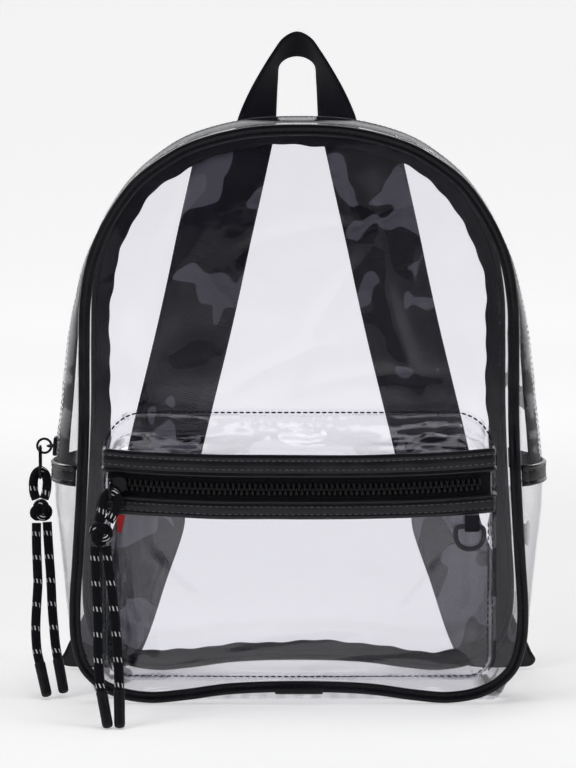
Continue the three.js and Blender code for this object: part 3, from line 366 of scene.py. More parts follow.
def strap_finish(name):
    """Dark spacer cloth of the straps, with painted reflection: sharp-edged pale patches and streaks on the
    side facing the front, where the clear sheet over it would mirror light.
    """
    finish = Finish(name)
    along, across = finish.weave()
    cell = 2 * math.pi / 1.3
    weave = (along * cell).sine() * (across * cell).sine()
    fuzz = finish.noise(1800, 3)
    dark = finish.mix(fuzz * 0.7 + weave * 0.25, (0.0042, 0.0044, 0.0080, 1), (0.0155, 0.0160, 0.0240, 1))
    # Painted reflection: pale grey patches and streaks, their share changing with height, only where points
    # face the front
    pale = finish.mix(fuzz * 0.5, (0.118, 0.113, 0.136, 1), (0.165, 0.158, 0.186, 1))
    level = finish.node("ShaderNodeSeparateXYZ", (), {0: finish.place()}, out=2)
    reach = level.ramp(0.150, 0.235, -0.15, 0.02) + level.ramp(0.118, 0.150, 0.15, 0)
    low = level.ramp(0.100, 0.122, 0.045, 0)
    patches = finish.noise(40, 1.3, finish.place((1, 0.2, 0.8)), 0.5) + reach + low
    front = finish.node("ShaderNodeAttribute", {"attribute_name": "front"}, out="Fac")
    reflection_patches = patches.ramp(0.540, 0.550) * front
    reflection_streaks = finish.noise(30, 4, finish.place((3, 0.3, 0.7)), 1.5).ramp(0.55, 0.8) * 0.35
    base = finish.mix(reflection_patches * 0.9 + reflection_streaks * front * (1 - reflection_patches) * 0.25, dark, pale)
    return finish.done(finish.shader(
        base_color=base, roughness=0.85 - weave * 0.05, specular_ior_level=0.10, sheen_weight=0.05,
        normal=finish.bump(weave * 0.5 + fuzz, 0.0002, 0.7)))


def moulded_finish(name, colour, rough, metal=0.0, coat=0.0):
    """Moulded plastic or coated metal with a faint orange-peel and small rubs."""
    finish = Finish(name)
    peel = finish.noise(900, 2)
    rubs = finish.noise(210, 4, stretch=0.8).ramp(0.55, 0.8)
    base = finish.mix(rubs * 0.4, (*colour, 1), paler(colour, 2.5, 0.01))
    return finish.done(finish.shader(
        base_color=base, metallic=metal, roughness=peel * 0.12 + (rough - 0.06) + rubs * 0.1,
        specular_ior_level=0.3, coat_weight=coat, normal=finish.bump(peel, 0.00005, 0.5)))


def cord_finish(name):
    """Braided black cord. A row of short slanted white flecks goes round it at each FLECK_PITCH."""
    finish = Finish(name)
    along, around = finish.weave()
    first = ((along * (1 / 1.9) + around * 6) * (2 * math.pi)).sine()
    second = ((along * (1 / 1.9) - around * 6) * (2 * math.pi)).sine()
    braid = first * second
    lane = around * FLECK_LANES
    column = (lane.fraction() - 0.5) * 2.2
    turns = (along + column * 0.5 + lane * 0.35) * (1 / FLECK_PITCH)
    row = turns.fraction() * FLECK_PITCH - FLECK_PITCH / 2
    across_fleck = abs(column + row * 0.16).ramp(0.30, 0.42, 1, 0)
    along_fleck = abs(row).ramp(0.95, 1.2, 1, 0)
    thread = (lane * 6 * math.pi).sine() * 0.1 + 0.9
    flecks = across_fleck * along_fleck * thread
    fuzz = finish.noise(2500, 2)
    dark = finish.mix(fuzz * 0.5 + braid * 0.15, (0.004, 0.004, 0.006, 1), (0.014, 0.014, 0.018, 1))
    base = finish.mix(flecks, dark, (0.70, 0.70, 0.72, 1))
    return finish.done(finish.shader(
        base_color=base, roughness=0.8 - flecks * 0.1, specular_ior_level=0.12, sheen_weight=0.03,
        normal=finish.bump(braid * 0.6 + fuzz * 0.4, 0.00025, 0.9)))


CLEAR = clear_finish("clear sheet", 0.0004, (0.983, 0.981, 0.994), 0.25)
# The sheet of the sides has the painted dark reflection, at weight 0.45
CLEAR_SIDE = clear_finish("clear sheet of the sides", 0.0004, (0.990, 0.989, 0.996), 0.6, 0.45)
PIPING_SKIN = leather_finish("black piping skin", (0.0045, 0.0045, 0.0070), 0.34, 0.12)
TRIM_SKIN = leather_finish("black trim skin", (0.0070, 0.0070, 0.0095), 0.34, 0.4)
BINDING_SKIN = leather_finish("black binding skin", (0.0040, 0.0042, 0.0075), 0.6, 0.0)
THREAD = moulded_finish("black sewing thread", (0.012, 0.012, 0.016), 0.6)
TRIM_THREAD = moulded_finish("grey sewing thread", (0.085, 0.085, 0.10), 0.5)
HANDLE_WEAVE = webbing_finish("black handle webbing", (0.0055, 0.0055, 0.0085))
WEBBING_WEAVE = webbing_finish("black strap webbing", (0.006, 0.006, 0.0095), 1.5, 4.2)
TAPE_WEAVE = webbing_finish("black zip tape", (0.0045, 0.0045, 0.006), 1.1, 2.6)
STRAP_CLOTH = strap_finish("dark strap cloth")
TEETH_PLASTIC = moulded_finish("black zip teeth", (0.006, 0.006, 0.0075), 0.34)
PLASTIC = moulded_finish("black moulded plastic", (0.009, 0.009, 0.011), 0.42)
RING_PLASTIC = moulded_finish("soft black plastic", (0.034, 0.034, 0.040), 0.42)
METAL = moulded_finish("black coated metal", (0.008, 0.008, 0.010), 0.3, 0.5, 0.3)
CORD_BRAID = cord_finish("flecked black cord")
RED_WEAVE = webbing_finish("red woven tape", (0.34, 0.022, 0.022), 1.0, 2.0)


# ---- Shapes ----
class Form:
    """Parts of one piece: points in millimetres, faces and the distances along and across each corner."""

    def __init__(self):
        self.points, self.faces, self.weave, self.count = [], [], [], 0

    def add(self, points, faces, weave=None):
        points = np.asarray(points, float).reshape(-1, 3)
        faces = [np.asarray(block) for block in faces]
        volume = 0.0
        for block in faces:
            a, b, c = points[block[:, 0]], points[block[:, 1]], points[block[:, 2]]
            volume += np.einsum("ij,ij->i", a, np.cross(b, c)).sum()
            if block.shape[1] == 4:
                d = points[block[:, 3]]
                volume += np.einsum("ij,ij->i", a, np.cross(c, d)).sum()
        weave = weave or [np.zeros((*block.shape, 2)) for block in faces]
        for block, marks in zip(faces, weave):
            self.faces.append((block[:, ::-1] if volume < 0 else block) + self.count)
            self.weave.append(marks[:, ::-1] if volume < 0 else marks)
        self.points.append(points)
        self.count += len(points)
        return self

    def piece(self, name, material, slot, body="bag", sharp=None, nodes=()):
        mesh = bpy.data.meshes.new(name)
        points = np.concatenate(self.points) * MM
        corners = np.concatenate([block.reshape(-1) for block in self.faces])
        totals = np.concatenate([np.full(len(block), block.shape[1]) for block in self.faces])
        mesh.vertices.add(len(points))
        mesh.vertices.foreach_set("co", points.reshape(-1))
        mesh.loops.add(len(corners))
        mesh.loops.foreach_set("vertex_index", corners.astype(np.int32))
        mesh.polygons.add(len(totals))
        starts = np.concatenate([[0], np.cumsum(totals)[:-1]])
        mesh.polygons.foreach_set("loop_start", starts.astype(np.int32))
        mesh.polygons.foreach_set("loop_total", totals.astype(np.int32))
        mesh.polygons.foreach_set("use_smooth", np.ones(len(totals), bool))
        stored = mesh.attributes.new("weave", "FLOAT_VECTOR", "CORNER")
        flat = np.concatenate([marks.reshape(-1, 2) for marks in self.weave])
        stored.data.foreach_set("vector", np.column_stack([flat, np.zeros(len(flat))]).reshape(-1))
        mesh.update(calc_edges=True)
        if sharp:
            mesh.set_sharp_from_angle(angle=math.radians(sharp))
        mesh.materials.append(material)
        obj = bpy.data.objects.new(name, mesh)
        scene.collection.objects.link(obj)
        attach(obj, body)
        if nodes:
            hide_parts(*nodes)
        return obj


def curve_through(points, closed=False, fine=24):
    """Evenly wound points on the smooth curve through a few."""
    points = np.asarray(points, float)
    count = len(points)
    spans = count if closed else count - 1
    if closed:
        around = np.vstack([points[-1:], points, points[:2]])
    else:
        around = np.vstack([2 * points[:1] - points[1:2], points, 2 * points[-1:] - points[-2:-1]])
    t = np.linspace(0, spans, fine * spans + 1)
    whole = np.minimum(t.astype(int), spans - 1)
    share = (t - whole)[:, None]
    p0, p1, p2, p3 = (around[whole + k] for k in range(4))
    d0, d1, d2 = (np.sqrt(np.linalg.norm(b - a, axis=1))[:, None] for a, b in ((p0, p1), (p1, p2), (p2, p3)))
    t1 = ((p1 - p0) / d0 - (p2 - p0) / (d0 + d1) + (p2 - p1) / d1) * d1
    t2 = ((p2 - p1) / d1 - (p3 - p1) / (d1 + d2) + (p3 - p2) / d2) * d1
    return (p1 + t1 * share + (3 * (p2 - p1) - 2 * t1 - t2) * share ** 2
            + (2 * (p1 - p2) + t1 + t2) * share ** 3)


def run_length(points):
    return np.concatenate([[0], np.cumsum(np.linalg.norm(np.diff(points, axis=0), axis=1))])


def unit(rows):
    """Each row of an array at length one."""
    return rows / np.linalg.norm(rows, axis=1)[:, None]


def points_at(line, run, spots):
    """Points of a line at distances along it."""
    return np.column_stack([np.interp(spots, run, line[:, k]) for k in range(3)])


def spaced(points, count):
    """Points at even distances along a line of points."""
    run = run_length(points)
    return points_at(points, run, np.linspace(0, run[-1], count))


half_seam = np.column_stack([
    np.array(SEAM["across"]) * BODY_HALF_WIDTH, np.zeros(len(SEAM["up"])),
    np.array(SEAM["up"]) * BODY_HEIGHT])
seam_line = curve_through(np.vstack([half_seam, half_seam[1:-1][::-1] * (-1, 1, 1)]), True, 100)
seam_run = run_length(seam_line)
SEAM_LENGTH = seam_run[-1]
seam_way = np.gradient(seam_line, seam_run, axis=0)
seam_way[[0, -1]] = (1, 0, 0)


def seam_at(share):
    """x, z and the outward direction of the body's seam at a share of the way round from the bottom."""
    wanted = (np.asarray(share, float) % 1) * SEAM_LENGTH
    x, z, way_x, way_z = (np.interp(wanted, seam_run, column) for column in (
        seam_line[:, 0], seam_line[:, 2], seam_way[:, 0], seam_way[:, 2]))
    long = np.hypot(way_x, way_z)
    return x, z, way_z / long, -way_x / long


def beside_seam(shares, inset, y):
    """A line inside the seam by an inset, at a depth y."""
    x, z, out_x, out_z = seam_at(shares)
    return np.stack([x - out_x * inset, y + 0 * x, z - out_z * inset], -1)


def seam_share(level):
    """Share of the way round where the right side reaches a level."""
    shares = np.linspace(0.1, 0.5, 4001)
    return float(np.interp(level, seam_at(shares)[1], shares))


def soft_step(value, low, high):
    t = np.clip((value - low) / (high - low), 0, 1)
    return t * t * (3 - 2 * t)


def gusset_point(share, setback, inset):
    x, z, out_x, out_z = seam_at(share)
    run = np.clip((setback - EDGE_SETBACK) / GUSSET_RUN, 0, 1)
    crest = np.sin(math.pi * run ** CREST_POWER)
    swell = SIDE_BULGE * np.interp(z / BODY_HEIGHT, BULGE["up"], BULGE["bulge"]) * crest
    flat = soft_step(run, 0, 0.12) * soft_step(1 - run, 0, 0.12)
    level = z * (1 - (1 - soft_step(z, 6.5, 14)) * flat)
    out = swell - inset
    return np.stack([x + out_x * out, -HALF_DEPTH + setback + 0 * x, level + out_z * out], -1)


def rough_field(points, scale, seed):
    """Smooth noise from -1 to 1 at each point, by size of its waves in millimetres."""
    flat = np.asarray(points, float).reshape(-1, 3) / scale + seed * 7.31
    return np.array([noise.noise(Vector(p)) for p in flat]).reshape(np.shape(points)[:-1])


CELL_CORNERS = [(slice(0, -1), slice(0, -1)), (slice(1, None), slice(0, -1)),
                (slice(1, None), slice(1, None)), (slice(0, -1), slice(1, None))]


def grid_faces(rows, cols, loops):
    free = np.arange((rows + (1 if loops else 0)) * cols).reshape(-1, cols)
    index = free % (rows * cols)
    faces = np.stack([index[c] for c in CELL_CORNERS], -1).reshape(-1, 4)
    marks = np.stack([free[c] for c in CELL_CORNERS], -1).reshape(-1, 4)
    return index, faces, marks


def slab(form, outer, inner, loops=False):
    """A closed sheet between two grids of points."""
    rows, cols = outer.shape[:2]
    index, faces, marks = grid_faces(rows, cols, loops)
    size = rows * cols
    closed_outer = np.concatenate([outer, outer[:1]]) if loops else outer
    along, across = run_length(closed_outer[:, cols // 2]), run_length(outer[rows // 2])
    coords = np.stack(np.meshgrid(along, across, indexing="ij"), -1).reshape(-1, 2)
    blocks = [faces, faces[:, ::-1] + size]
    weave = [coords[marks], coords[marks[:, ::-1]]]
    edges = [index[:, 0], index[:, -1][::-1]]
    if not loops:
        edges += [index[0][::-1], index[-1]]
    for line in edges:
        rim = np.column_stack([line[1:], line[:-1], line[:-1] + size, line[1:] + size])
        blocks.append(rim)
        weave.append(np.zeros((*rim.shape, 2)))
    return form.add(np.concatenate([outer.reshape(-1, 3), inner.reshape(-1, 3)]), blocks, weave)


def loft(form, rings, loops=False):
    """A closed solid through rings of points, with flat or pointed ends."""
    rings = np.asarray(rings, float)
    count, sides = rings.shape[:2]
    wide = np.concatenate([rings, rings[:, :1]], 1)
    index = np.arange(count * sides).reshape(count, sides)
    index = np.concatenate([index, index[:, :1]], 1)
    if loops:
        index = np.vstack([index, index[:1]])
        wide = np.vstack([wide, wide[:1]])
    along = run_length(wide.mean(1))
    around = np.arange(sides + 1) / sides
    coords = np.stack(np.meshgrid(along, around, indexing="ij"), -1)
    faces = np.stack([index[c] for c in CELL_CORNERS], -1).reshape(-1, 4)
    marks = np.stack([coords[c] for c in CELL_CORNERS], 2).reshape(-1, 4, 2)
    blocks, weave, points = [faces], [marks], rings.reshape(-1, 3)
    if not loops:
        for end, line in ((0, index[0]), (count - 1, index[-1][::-1])):
            middle = len(points)
            points = np.vstack([points, rings[end].mean(0)])
            fan = np.column_stack([line[1:], line[:-1], np.full(sides, middle)])
            blocks.append(fan)
            weave.append(np.full((*fan.shape, 2), (along[0] if end == 0 else along[-1], 0.5)))
    return form.add(points, blocks, weave)


def tube(form, line, radius, sides=12, loops=False, flat=1.0, up=None):
    """A round or flattened tube along a line of points."""
    line = np.asarray(line, float)
    way = unit(np.roll(line, -1, 0) - np.roll(line, 1, 0) if loops else np.gradient(line, axis=0))
    side = np.cross(way[0], up if up is not None else (0.31, 0.95, 0.05))
    rings = []
    radii = np.broadcast_to(radius, len(line))
    angles = np.arange(sides) * 2 * math.pi / sides
    for k in range(len(line)):
        if up is not None:
            side = np.cross(way[k], up)
        side = side - way[k] * side.dot(way[k])
        side /= np.linalg.norm(side)
        other = np.cross(way[k], side)
        ring = np.outer(np.cos(angles), side) + flat * np.outer(np.sin(angles), other)
        rings.append(line[k] + radii[k] * ring)
    return loft(form, rings, loops)


def bead_row(form, line, normals, pitch, length, radius, lift=0.0, sink=0.35):
    """A row of stitches: a small rounded bead for each, along a line that lies on a surface."""
    run = run_length(line)
    count = max(int(run[-1] / pitch), 1)
    spots = (np.arange(count) + 0.5) * run[-1] / count
    centre = points_at(line, run, spots)
    way = unit(points_at(line, run, spots + 0.2) - points_at(line, run, spots - 0.2))
    out = points_at(np.broadcast_to(normals, line.shape), run, spots)
    out = unit(out - way * (out * way).sum(1)[:, None])
    side = np.cross(way, out)
    places = [(-1, 0), (-0.72, 0.8), (0, 1), (0.72, 0.8), (1, 0)]
    sides = 6
    for c, w, s, o in zip(centre, way, side, out):
        rings = []
        for at, size in places:
            bow = (1 - at * at) * radius * 0.5 + lift - sink * radius
            middle = c + w * at * length / 2 + o * bow
            angles = np.arange(sides) * 2 * math.pi / sides
            rings.append(middle + max(size, 0.3) * radius * (
                np.outer(np.cos(angles), s) + 0.8 * np.outer(np.sin(angles), o)))
        loft(form, rings)
    return form


# ---- Cords: loops, knots, tails and tips ----
def cord_piece(name, route, nodes):
    curve = curve_through(route)
    line = spaced(curve, max(int(run_length(curve)[-1] / 1.2), 24))
    return tube(Form(), line, CORD_RADIUS, 16).piece(name, CORD_BRAID, "black_cord", nodes=nodes), line


def cord_tip(name, route, nodes):
    """A moulded tip with a rolled mouth and a rounded end, in line with the end of its cord."""
    before, start = np.array(route[-2]), np.array(route[-1])
    way = (start - before) / np.linalg.norm(start - before)
    profile = {"out": [0.86, 0.97, 1, 1, 0.985, 0.97, 0.96, 0.9, 0.72, 0.42, 0.12],
               "at": [0, 0.012, 0.04, 0.09, 0.12, 0.5, 0.88, 0.945, 0.98, 0.995, 1]}
    line = start + np.outer(np.array(profile["at"]) * TIP_LENGTH + CLEARANCE, way)
    form = tube(Form(), line, np.array(profile["out"]) * TIP_RADIUS, 24)
    return form.piece(name, PLASTIC, "black_plastic", nodes=nodes)


def knot_piece(name, centre, tilt, nodes):
    """An overhand knot: one tube wound through itself."""
    turn = np.linspace(0, 2 * math.pi, 120, endpoint=False)
    radius = 2.75 + 1.35 * np.cos(3 * turn)
    line = np.column_stack([
        radius * np.cos(2 * turn) * 1.02, 1.75 * np.sin(3 * turn), radius * np.sin(2 * turn) * 1.08])
    c, s = math.cos(tilt), math.sin(tilt)
    line = line @ np.array([[c, 0, -s], [0, 1, 0], [s, 0, c]])
    form = tube(Form(), line + np.array(centre), CORD_RADIUS * 0.84, 14, loops=True)
    return form.piece(name, CORD_BRAID, "black_cord", nodes=nodes)


for owner, loop, knot, tails, tilt in (
    ("main", MAIN_LOOP, MAIN_KNOT, (MAIN_TAIL_A, MAIN_TAIL_B), 0.5),
    ("pocket", POCKET_LOOP, POCKET_KNOT, (POCKET_TAIL_A, POCKET_TAIL_B), -0.3),
):
    cord_piece(f"{owner}_pull_loop", loop, [f"{owner}_cord_loop"])
    knot_piece(f"{owner}_pull_knot", knot, tilt, [f"{owner}_cord_knot"])
    for letter, route in zip("ab", tails):
        tip = cord_tip(f"{owner}_pull_tip_{letter}", route, [f"{owner}_cord_tip_{letter}"])
        tail, line = cord_piece(f"{owner}_pull_tail_{letter}", route, [f"{owner}_cord_tail_{letter}"])
        (line * MM).tolist()


# ---- Clear sheets of the body ----
def body_patch(inset, steps_across, steps_up):
    """A grid over the body's front outline, inside the seam by an inset, with its shares across and up."""
    low, high = seam_share(20), seam_share(262)
    up = np.linspace(0, 1, steps_up)
    across = np.linspace(0, 1, steps_across)

    def edge(shares):
        x, z, out_x, out_z = seam_at(shares)
        return np.stack([x - out_x * inset, z - out_z * inset], -1)

    right = edge(low + (high - low) * up)
    left = edge(-(low + (high - low) * up))
    bottom = edge(-low + 2 * low * across)
    top = edge((1 - high) + (2 * high - 1) * across)
    u, v = np.meshgrid(across, up, indexing="ij")
    u, v = u[..., None], v[..., None]
    sides = (1 - u) * left[None] + u * right[None] + (1 - v) * bottom[:, None] + v * top[:, None]
    grid = (sides - (1 - u) * (1 - v) * bottom[0] - u * (1 - v) * bottom[-1]
            - (1 - u) * v * top[0] - u * v * top[-1])
    return grid, u[..., 0], v[..., 0]


# Soft folds: middle across and up, half length, half width, direction in degrees and depth
FRONT_FOLDS = [
    (10, 200, 42, 4, 62, 0.8), (-18, 176, 36, 3, 28, 0.7), (46, 215, 60, 5, 104, 0.9),
    (-70, 235, 40, 5, 70, 0.8), (84, 205, 40, 6, 98, 1.0), (0, 248, 30, 4, 12, 0.5),
    (-86, 178, 26, 5, 100, 0.8), (30, 172, 40, 3, 8, 0.5),
]
BACK_FOLDS = [
    (0, 120, 60, 8, 80, 1.0), (-60, 70, 40, 6, 40, 1.0), (60, 60, 44, 6, 130, 1.0), (20, 220, 50, 7, 95, 0.8),
]


def fold_field(x, z, folds):
    total = 0 * x
    for cx, cz, long, wide, turn, depth in folds:
        c, s = math.cos(math.radians(turn)), math.sin(math.radians(turn))
        along = ((x - cx) * c + (z - cz) * s) / long
        across = ((z - cz) * c - (x - cx) * s + 0.12 * along * long * along) / wide
        total = total + depth * np.exp(-along ** 4 - across ** 2)
    return total


def body_sheet(name, facing, node, folds, steps, seed):
    grid, u, v = body_patch(2 * PIPING_RADIUS + CLEARANCE - 1.2, *steps)
    x, z = grid[..., 0], grid[..., 1]
    edge = soft_step(np.minimum(np.minimum(u, 1 - u), np.minimum(v, 1 - v)), 0, 0.16)
    spots = np.stack([x, 0 * x, z], -1)
    wave = rough_field(spots, 46, seed) * 1.1 + rough_field(spots, 19, seed + 3) * 0.25
    away = soft_step(z, SEAM_TOP + 2, SEAM_TOP + 30) + 0.25 if facing < 0 else 0.6
    depth = (wave * 0.8 + fold_field(x, z, folds)) * edge * away + 0.5 * edge
    outer_y = facing * (HALF_DEPTH - 0.25 - np.clip(depth, 0, 4) * (1 if facing < 0 else 0.5))
    outer = np.stack([x, outer_y, z], -1)
    inner = outer - np.array([0, facing * THIN_SHEET, 0])
    return slab(Form(), outer, inner).piece(name, CLEAR, "clear_sheet", nodes=[node])


body_sheet("front_sheet", -1, "front_panel", FRONT_FOLDS, (110, 130), 1)
body_sheet("back_sheet", 1, "back_panel", BACK_FOLDS, (80, 100), 5)


def gusset_ripple(share, setback, seed, rise):
    """Dents and puckers of the side sheets, deepest near the seams and where the side is fullest."""
    x, z, out_x, out_z = seam_at(share)
    spots = np.stack([x * 0.6, setback, z], -1)
    side = soft_step(z, 18, 60) * (1 - soft_step(z, 255, 300) * 0.7)
    big = rough_field(spots, 34, seed) * 2.2
    small = rough_field(spots * (1, 0.6, 1), 12, seed + 2) * 0.7
    pucker = np.cos(np.asarray(share, float) * SEAM_LENGTH * 2 * math.pi / 9.5) * 0.35
    near = np.exp(-np.minimum(setback - EDGE_SETBACK, EDGE_SETBACK + GUSSET_RUN - setback) / 6)
    middle = np.sin(math.pi * np.clip((setback - EDGE_SETBACK) / GUSSET_RUN, 0, 1)) ** 0.5
    return rise * (side * (np.abs(big) + small) * middle * 0.8 + pucker * near * (0.3 + side * 0.7) * middle)


def gusset_sheet(name, shares, setbacks, node, seed, rise):
    along = np.linspace(*shares, 260)
    u, v = np.meshgrid(along, setbacks, indexing="ij")
    dent = gusset_ripple(u, v, seed, rise)
    low = soft_step(seam_at(u)[1], 3, 16)
    ramp = soft_step(np.minimum(u - along[0], along[-1] - u), 0, 0.02)
    inset = dent * ramp * low
    slab(Form(), gusset_point(u, v, inset), gusset_point(u, v, inset + THIN_SHEET)).piece(
        name, CLEAR_SIDE, "clear_sheet", nodes=[node])


band_share = seam_share(BAND_LEVEL)
gusset_ends = (EDGE_SETBACK, BODY_DEPTH - EDGE_SETBACK)
top_ends = (band_share, 1 - band_share)
gusset_sheet("base_sheet", (-band_share, band_share), np.linspace(*gusset_ends, 44), "base_gusset", 11, 0.55)
gusset_sheet("top_sheet_front", top_ends, np.linspace(gusset_ends[0], ZIP_FRONT + 0.6, 22),
             "top_gusset_front", 13, 0.9)
gusset_sheet("top_sheet_back", top_ends, np.linspace(ZIP_BACK - 0.6, gusset_ends[1], 22),
             "top_gusset_back", 17, 0.8)


# ---- Piping, joint sleeve and inner binding ----
def piping_rings(facing, shares, wave):
    """Rings of the piping: a round cord and beside it a flat flange with its own rolled edge."""
    section = [(-PIPING_RADIUS + PIPING_RADIUS * math.cos(a), PIPING_PROUD + PIPING_RADIUS * math.sin(a))
               for a in np.radians(np.linspace(-158, 142, 13))]
    section += [(-3.55, 1.0), (-3.9, 1.25), (-4.5, 1.52), (-5.2, 1.5),
                (-5.8, 1.25), (-6.05, 0.8), (-5.9, 0.35), (-4.6, 0.15)]
    return np.stack([beside_seam(shares, -out, facing * (HALF_DEPTH + proud * (1 + wave)))
                     for out, proud in section], 1)


for facing, name, node in ((-1, "front_piping_cord", "front_piping"), (1, "back_piping_cord", "back_piping")):
    shares = np.linspace(0, 1, 420, endpoint=False)
    wave = 0.05 * np.sin(shares * 2 * math.pi * 31) + 0.04 * np.sin(shares * 2 * math.pi * 53 + facing)
    loft(Form(), piping_rings(facing, shares, wave), True).piece(
        name, PIPING_SKIN, "black_leather", nodes=[node])
    line = beside_seam(np.linspace(0, 1, 900), 3.72, facing * (HALF_DEPTH + 1.15))
    bead_row(Form(), line, np.array([0, facing, 0]), 3.6, 2.3, 0.28).piece(
        f"{name.split('_')[0]}_piping_stitches", THREAD, "black_leather")

sleeve_share = np.linspace(-12.5, 12.5, 26) / SEAM_LENGTH
sleeve_turn = np.radians(np.linspace(-15, 120, 14))
u, v = np.meshgrid(sleeve_share, sleeve_turn, indexing="ij")


def sleeve_grid(radius):
    return beside_seam(u, PIPING_RADIUS - radius * np.cos(v), -HALF_DEPTH - PIPING_PROUD - radius * np.sin(v))


bulk = 0.8 - 0.25 * np.abs(u * SEAM_LENGTH / 12.5) ** 6
slab(Form(), sleeve_grid(PIPING_RADIUS + CLEARANCE + bulk), sleeve_grid(PIPING_RADIUS + 0.05)).piece(
    "piping_joint_sleeve", PIPING_SKIN, "black_leather", nodes=["piping_joint"])

binding_shares = np.linspace(0, 1, 600, endpoint=False)
wobble = (0.4 * np.sin(binding_shares * 2 * math.pi * 23)
          + 0.3 * np.sin(binding_shares * 2 * math.pi * 57 + 1.3)
          + 0.5 * np.sin(binding_shares * 2 * math.pi * 11 + 0.4))
puckers = 0.35 * np.sin(binding_shares * 2 * math.pi * 37)
outer = np.stack([
    beside_seam(binding_shares, 3.4 + (10.8 + wobble - 3.4) * run,
                HALF_DEPTH - 1.6 - 0.5 * np.sin(math.pi * run) - run * puckers)
    for run in np.linspace(0, 1, 9)], 1)
slab(Form(), outer, outer + np.array([0, 0.7, 0]), True).piece(
    "inner_binding", BINDING_SKIN, "black_leather", nodes=["back_binding"])
line = beside_seam(binding_shares, 9.2, HALF_DEPTH - 2.1)
bead_row(Form(), line, np.array([0, -1, 0]), 3.6, 2.4, 0.25).piece(
    "inner_binding_stitches", THREAD, "black_leather")


# ---- Side bands ----
for turn, side in ((1, "right"), (-1, "left")):
    low, high = seam_share(BAND_LEVEL - BAND_HEIGHT / 2), seam_share(BAND_LEVEL + BAND_HEIGHT / 2)
    ups = np.array([0, 0.02, 0.06, 0.11, 0.16, 0.2, 0.25, 0.5, 0.75, 0.8, 0.84, 0.89, 0.94, 0.98, 1])
    rise = np.array([0.2, 1.2, 1.75, 1.85, 1.5, 1.1, 1.15, 1.25, 1.15, 1.1, 1.5, 1.85, 1.75, 1.2, 0.2])
    deep = np.linspace(*gusset_ends, 60)
    u, v = np.meshgrid(turn * (low + (high - low) * ups), deep, indexing="ij")
    lift = rise[:, None] + 0.15 * rough_field(np.stack([u * 400, v, 0 * v], -1), 9, 3 + turn)
    slab(Form(), gusset_point(u, v, -0.35 - lift), gusset_point(u, v, -0.3 + 0 * u)).piece(
        f"side_band_cover_{side}", TRIM_SKIN, "black_leather", nodes=[f"side_band_{side}"])
    form = Form()
    for stop in (0.27, 0.73):
        spots = gusset_point(np.full(60, turn * (low + (high - low) * stop)), deep, np.full(60, -1.65))
        bead_row(form, spots, np.array([turn, 0, 0]), 3.4, 2.2, 0.25)
    form.piece(f"side_band_stitches_{side}", TRIM_THREAD, "black_leather")


# ---- Zips: tape, teeth, slider ----
def tooth_shape():
    """One moulded tooth: its root is on one side of the middle and its head passes the middle."""
    outline = np.array([(-0.8, -3.3), (0.8, -3.3), (0.86, -1.1), (0.5, -0.4), (0.82, 0.35), (0.6, 0.85),
                        (-0.6, 0.85), (-0.82, 0.35), (-0.5, -0.4), (-0.86, -1.1)])
    levels = [(0, 1), (0.9, 1), (1.25, 0.86), (1.4, 0.55)]
    middle = outline.mean(0)
    return [(middle + (outline - middle) * size, up) for up, size in levels]


def teeth(form, frames, height):
    """Teeth at frames of (centre, along, across, out), turned to alternate sides."""
    levels = tooth_shape()
    for k, (centre, along, across, out) in enumerate(frames):
        flip = 1 if k % 2 else -1
        loft(form, [centre + np.outer(shape[:, 0], along) + np.outer(shape[:, 1] * -flip, across)
                    + out * up * height / 1.4 for shape, up in levels])
    return form


top_share = (band_share + 6.2 / SEAM_LENGTH, 1 - band_share - 6.2 / SEAM_LENGTH)
u, v = np.meshgrid(np.linspace(*top_ends, 240), np.linspace(*MAIN_TAPE_EDGES, 13), indexing="ij")
slab(Form(), gusset_point(u, v, 1.25 + 0 * u), gusset_point(u, v, 1.85 + 0 * u)).piece(
    "main_zip_tapes", TAPE_WEAVE, "black_webbing", nodes=["main_zip_tape"])
count = int((top_share[1] - top_share[0]) * SEAM_LENGTH / (TOOTH_PITCH / 2))
shares = np.linspace(*top_share, count)
nearer, middle, deeper = (
    gusset_point(shares, np.full(count, ZIP_SETBACK + step), np.full(count, 1.1))
    for step in (-2.0, 0.0, 2.0))
way = unit(np.gradient(middle, axis=0))
across = unit(deeper - nearer)
out = unit(np.cross(across, way))
x, z, out_x, out_z = seam_at(shares)
if (out[:, 0] * out_x + out[:, 2] * out_z).mean() < 0:
    out = -out
teeth(Form(), zip(middle, way, across, out), 2.0).piece(
    "main_zip_teeth", TEETH_PLASTIC, "black_plastic", sharp=40, nodes=["main_zip_chain"])
form = Form()
shares = np.linspace(*top_ends, 500)
x, z, out_x, out_z = seam_at(shares)
for setback, inset in (
    (ZIP_FRONT + 1.8, 1.2), (ZIP_FRONT - 1.4, -0.05), (ZIP_BACK - 1.8, 1.2), (ZIP_BACK + 1.4, -0.05),
):
    line = gusset_point(shares, np.full(500, float(setback)), np.full(500, inset))
    bead_row(form, line, np.stack([out_x, 0 * x, out_z], -1), 3.4, 2.3, 0.24)
form.piece("main_zip_stitches", THREAD, "black_webbing")


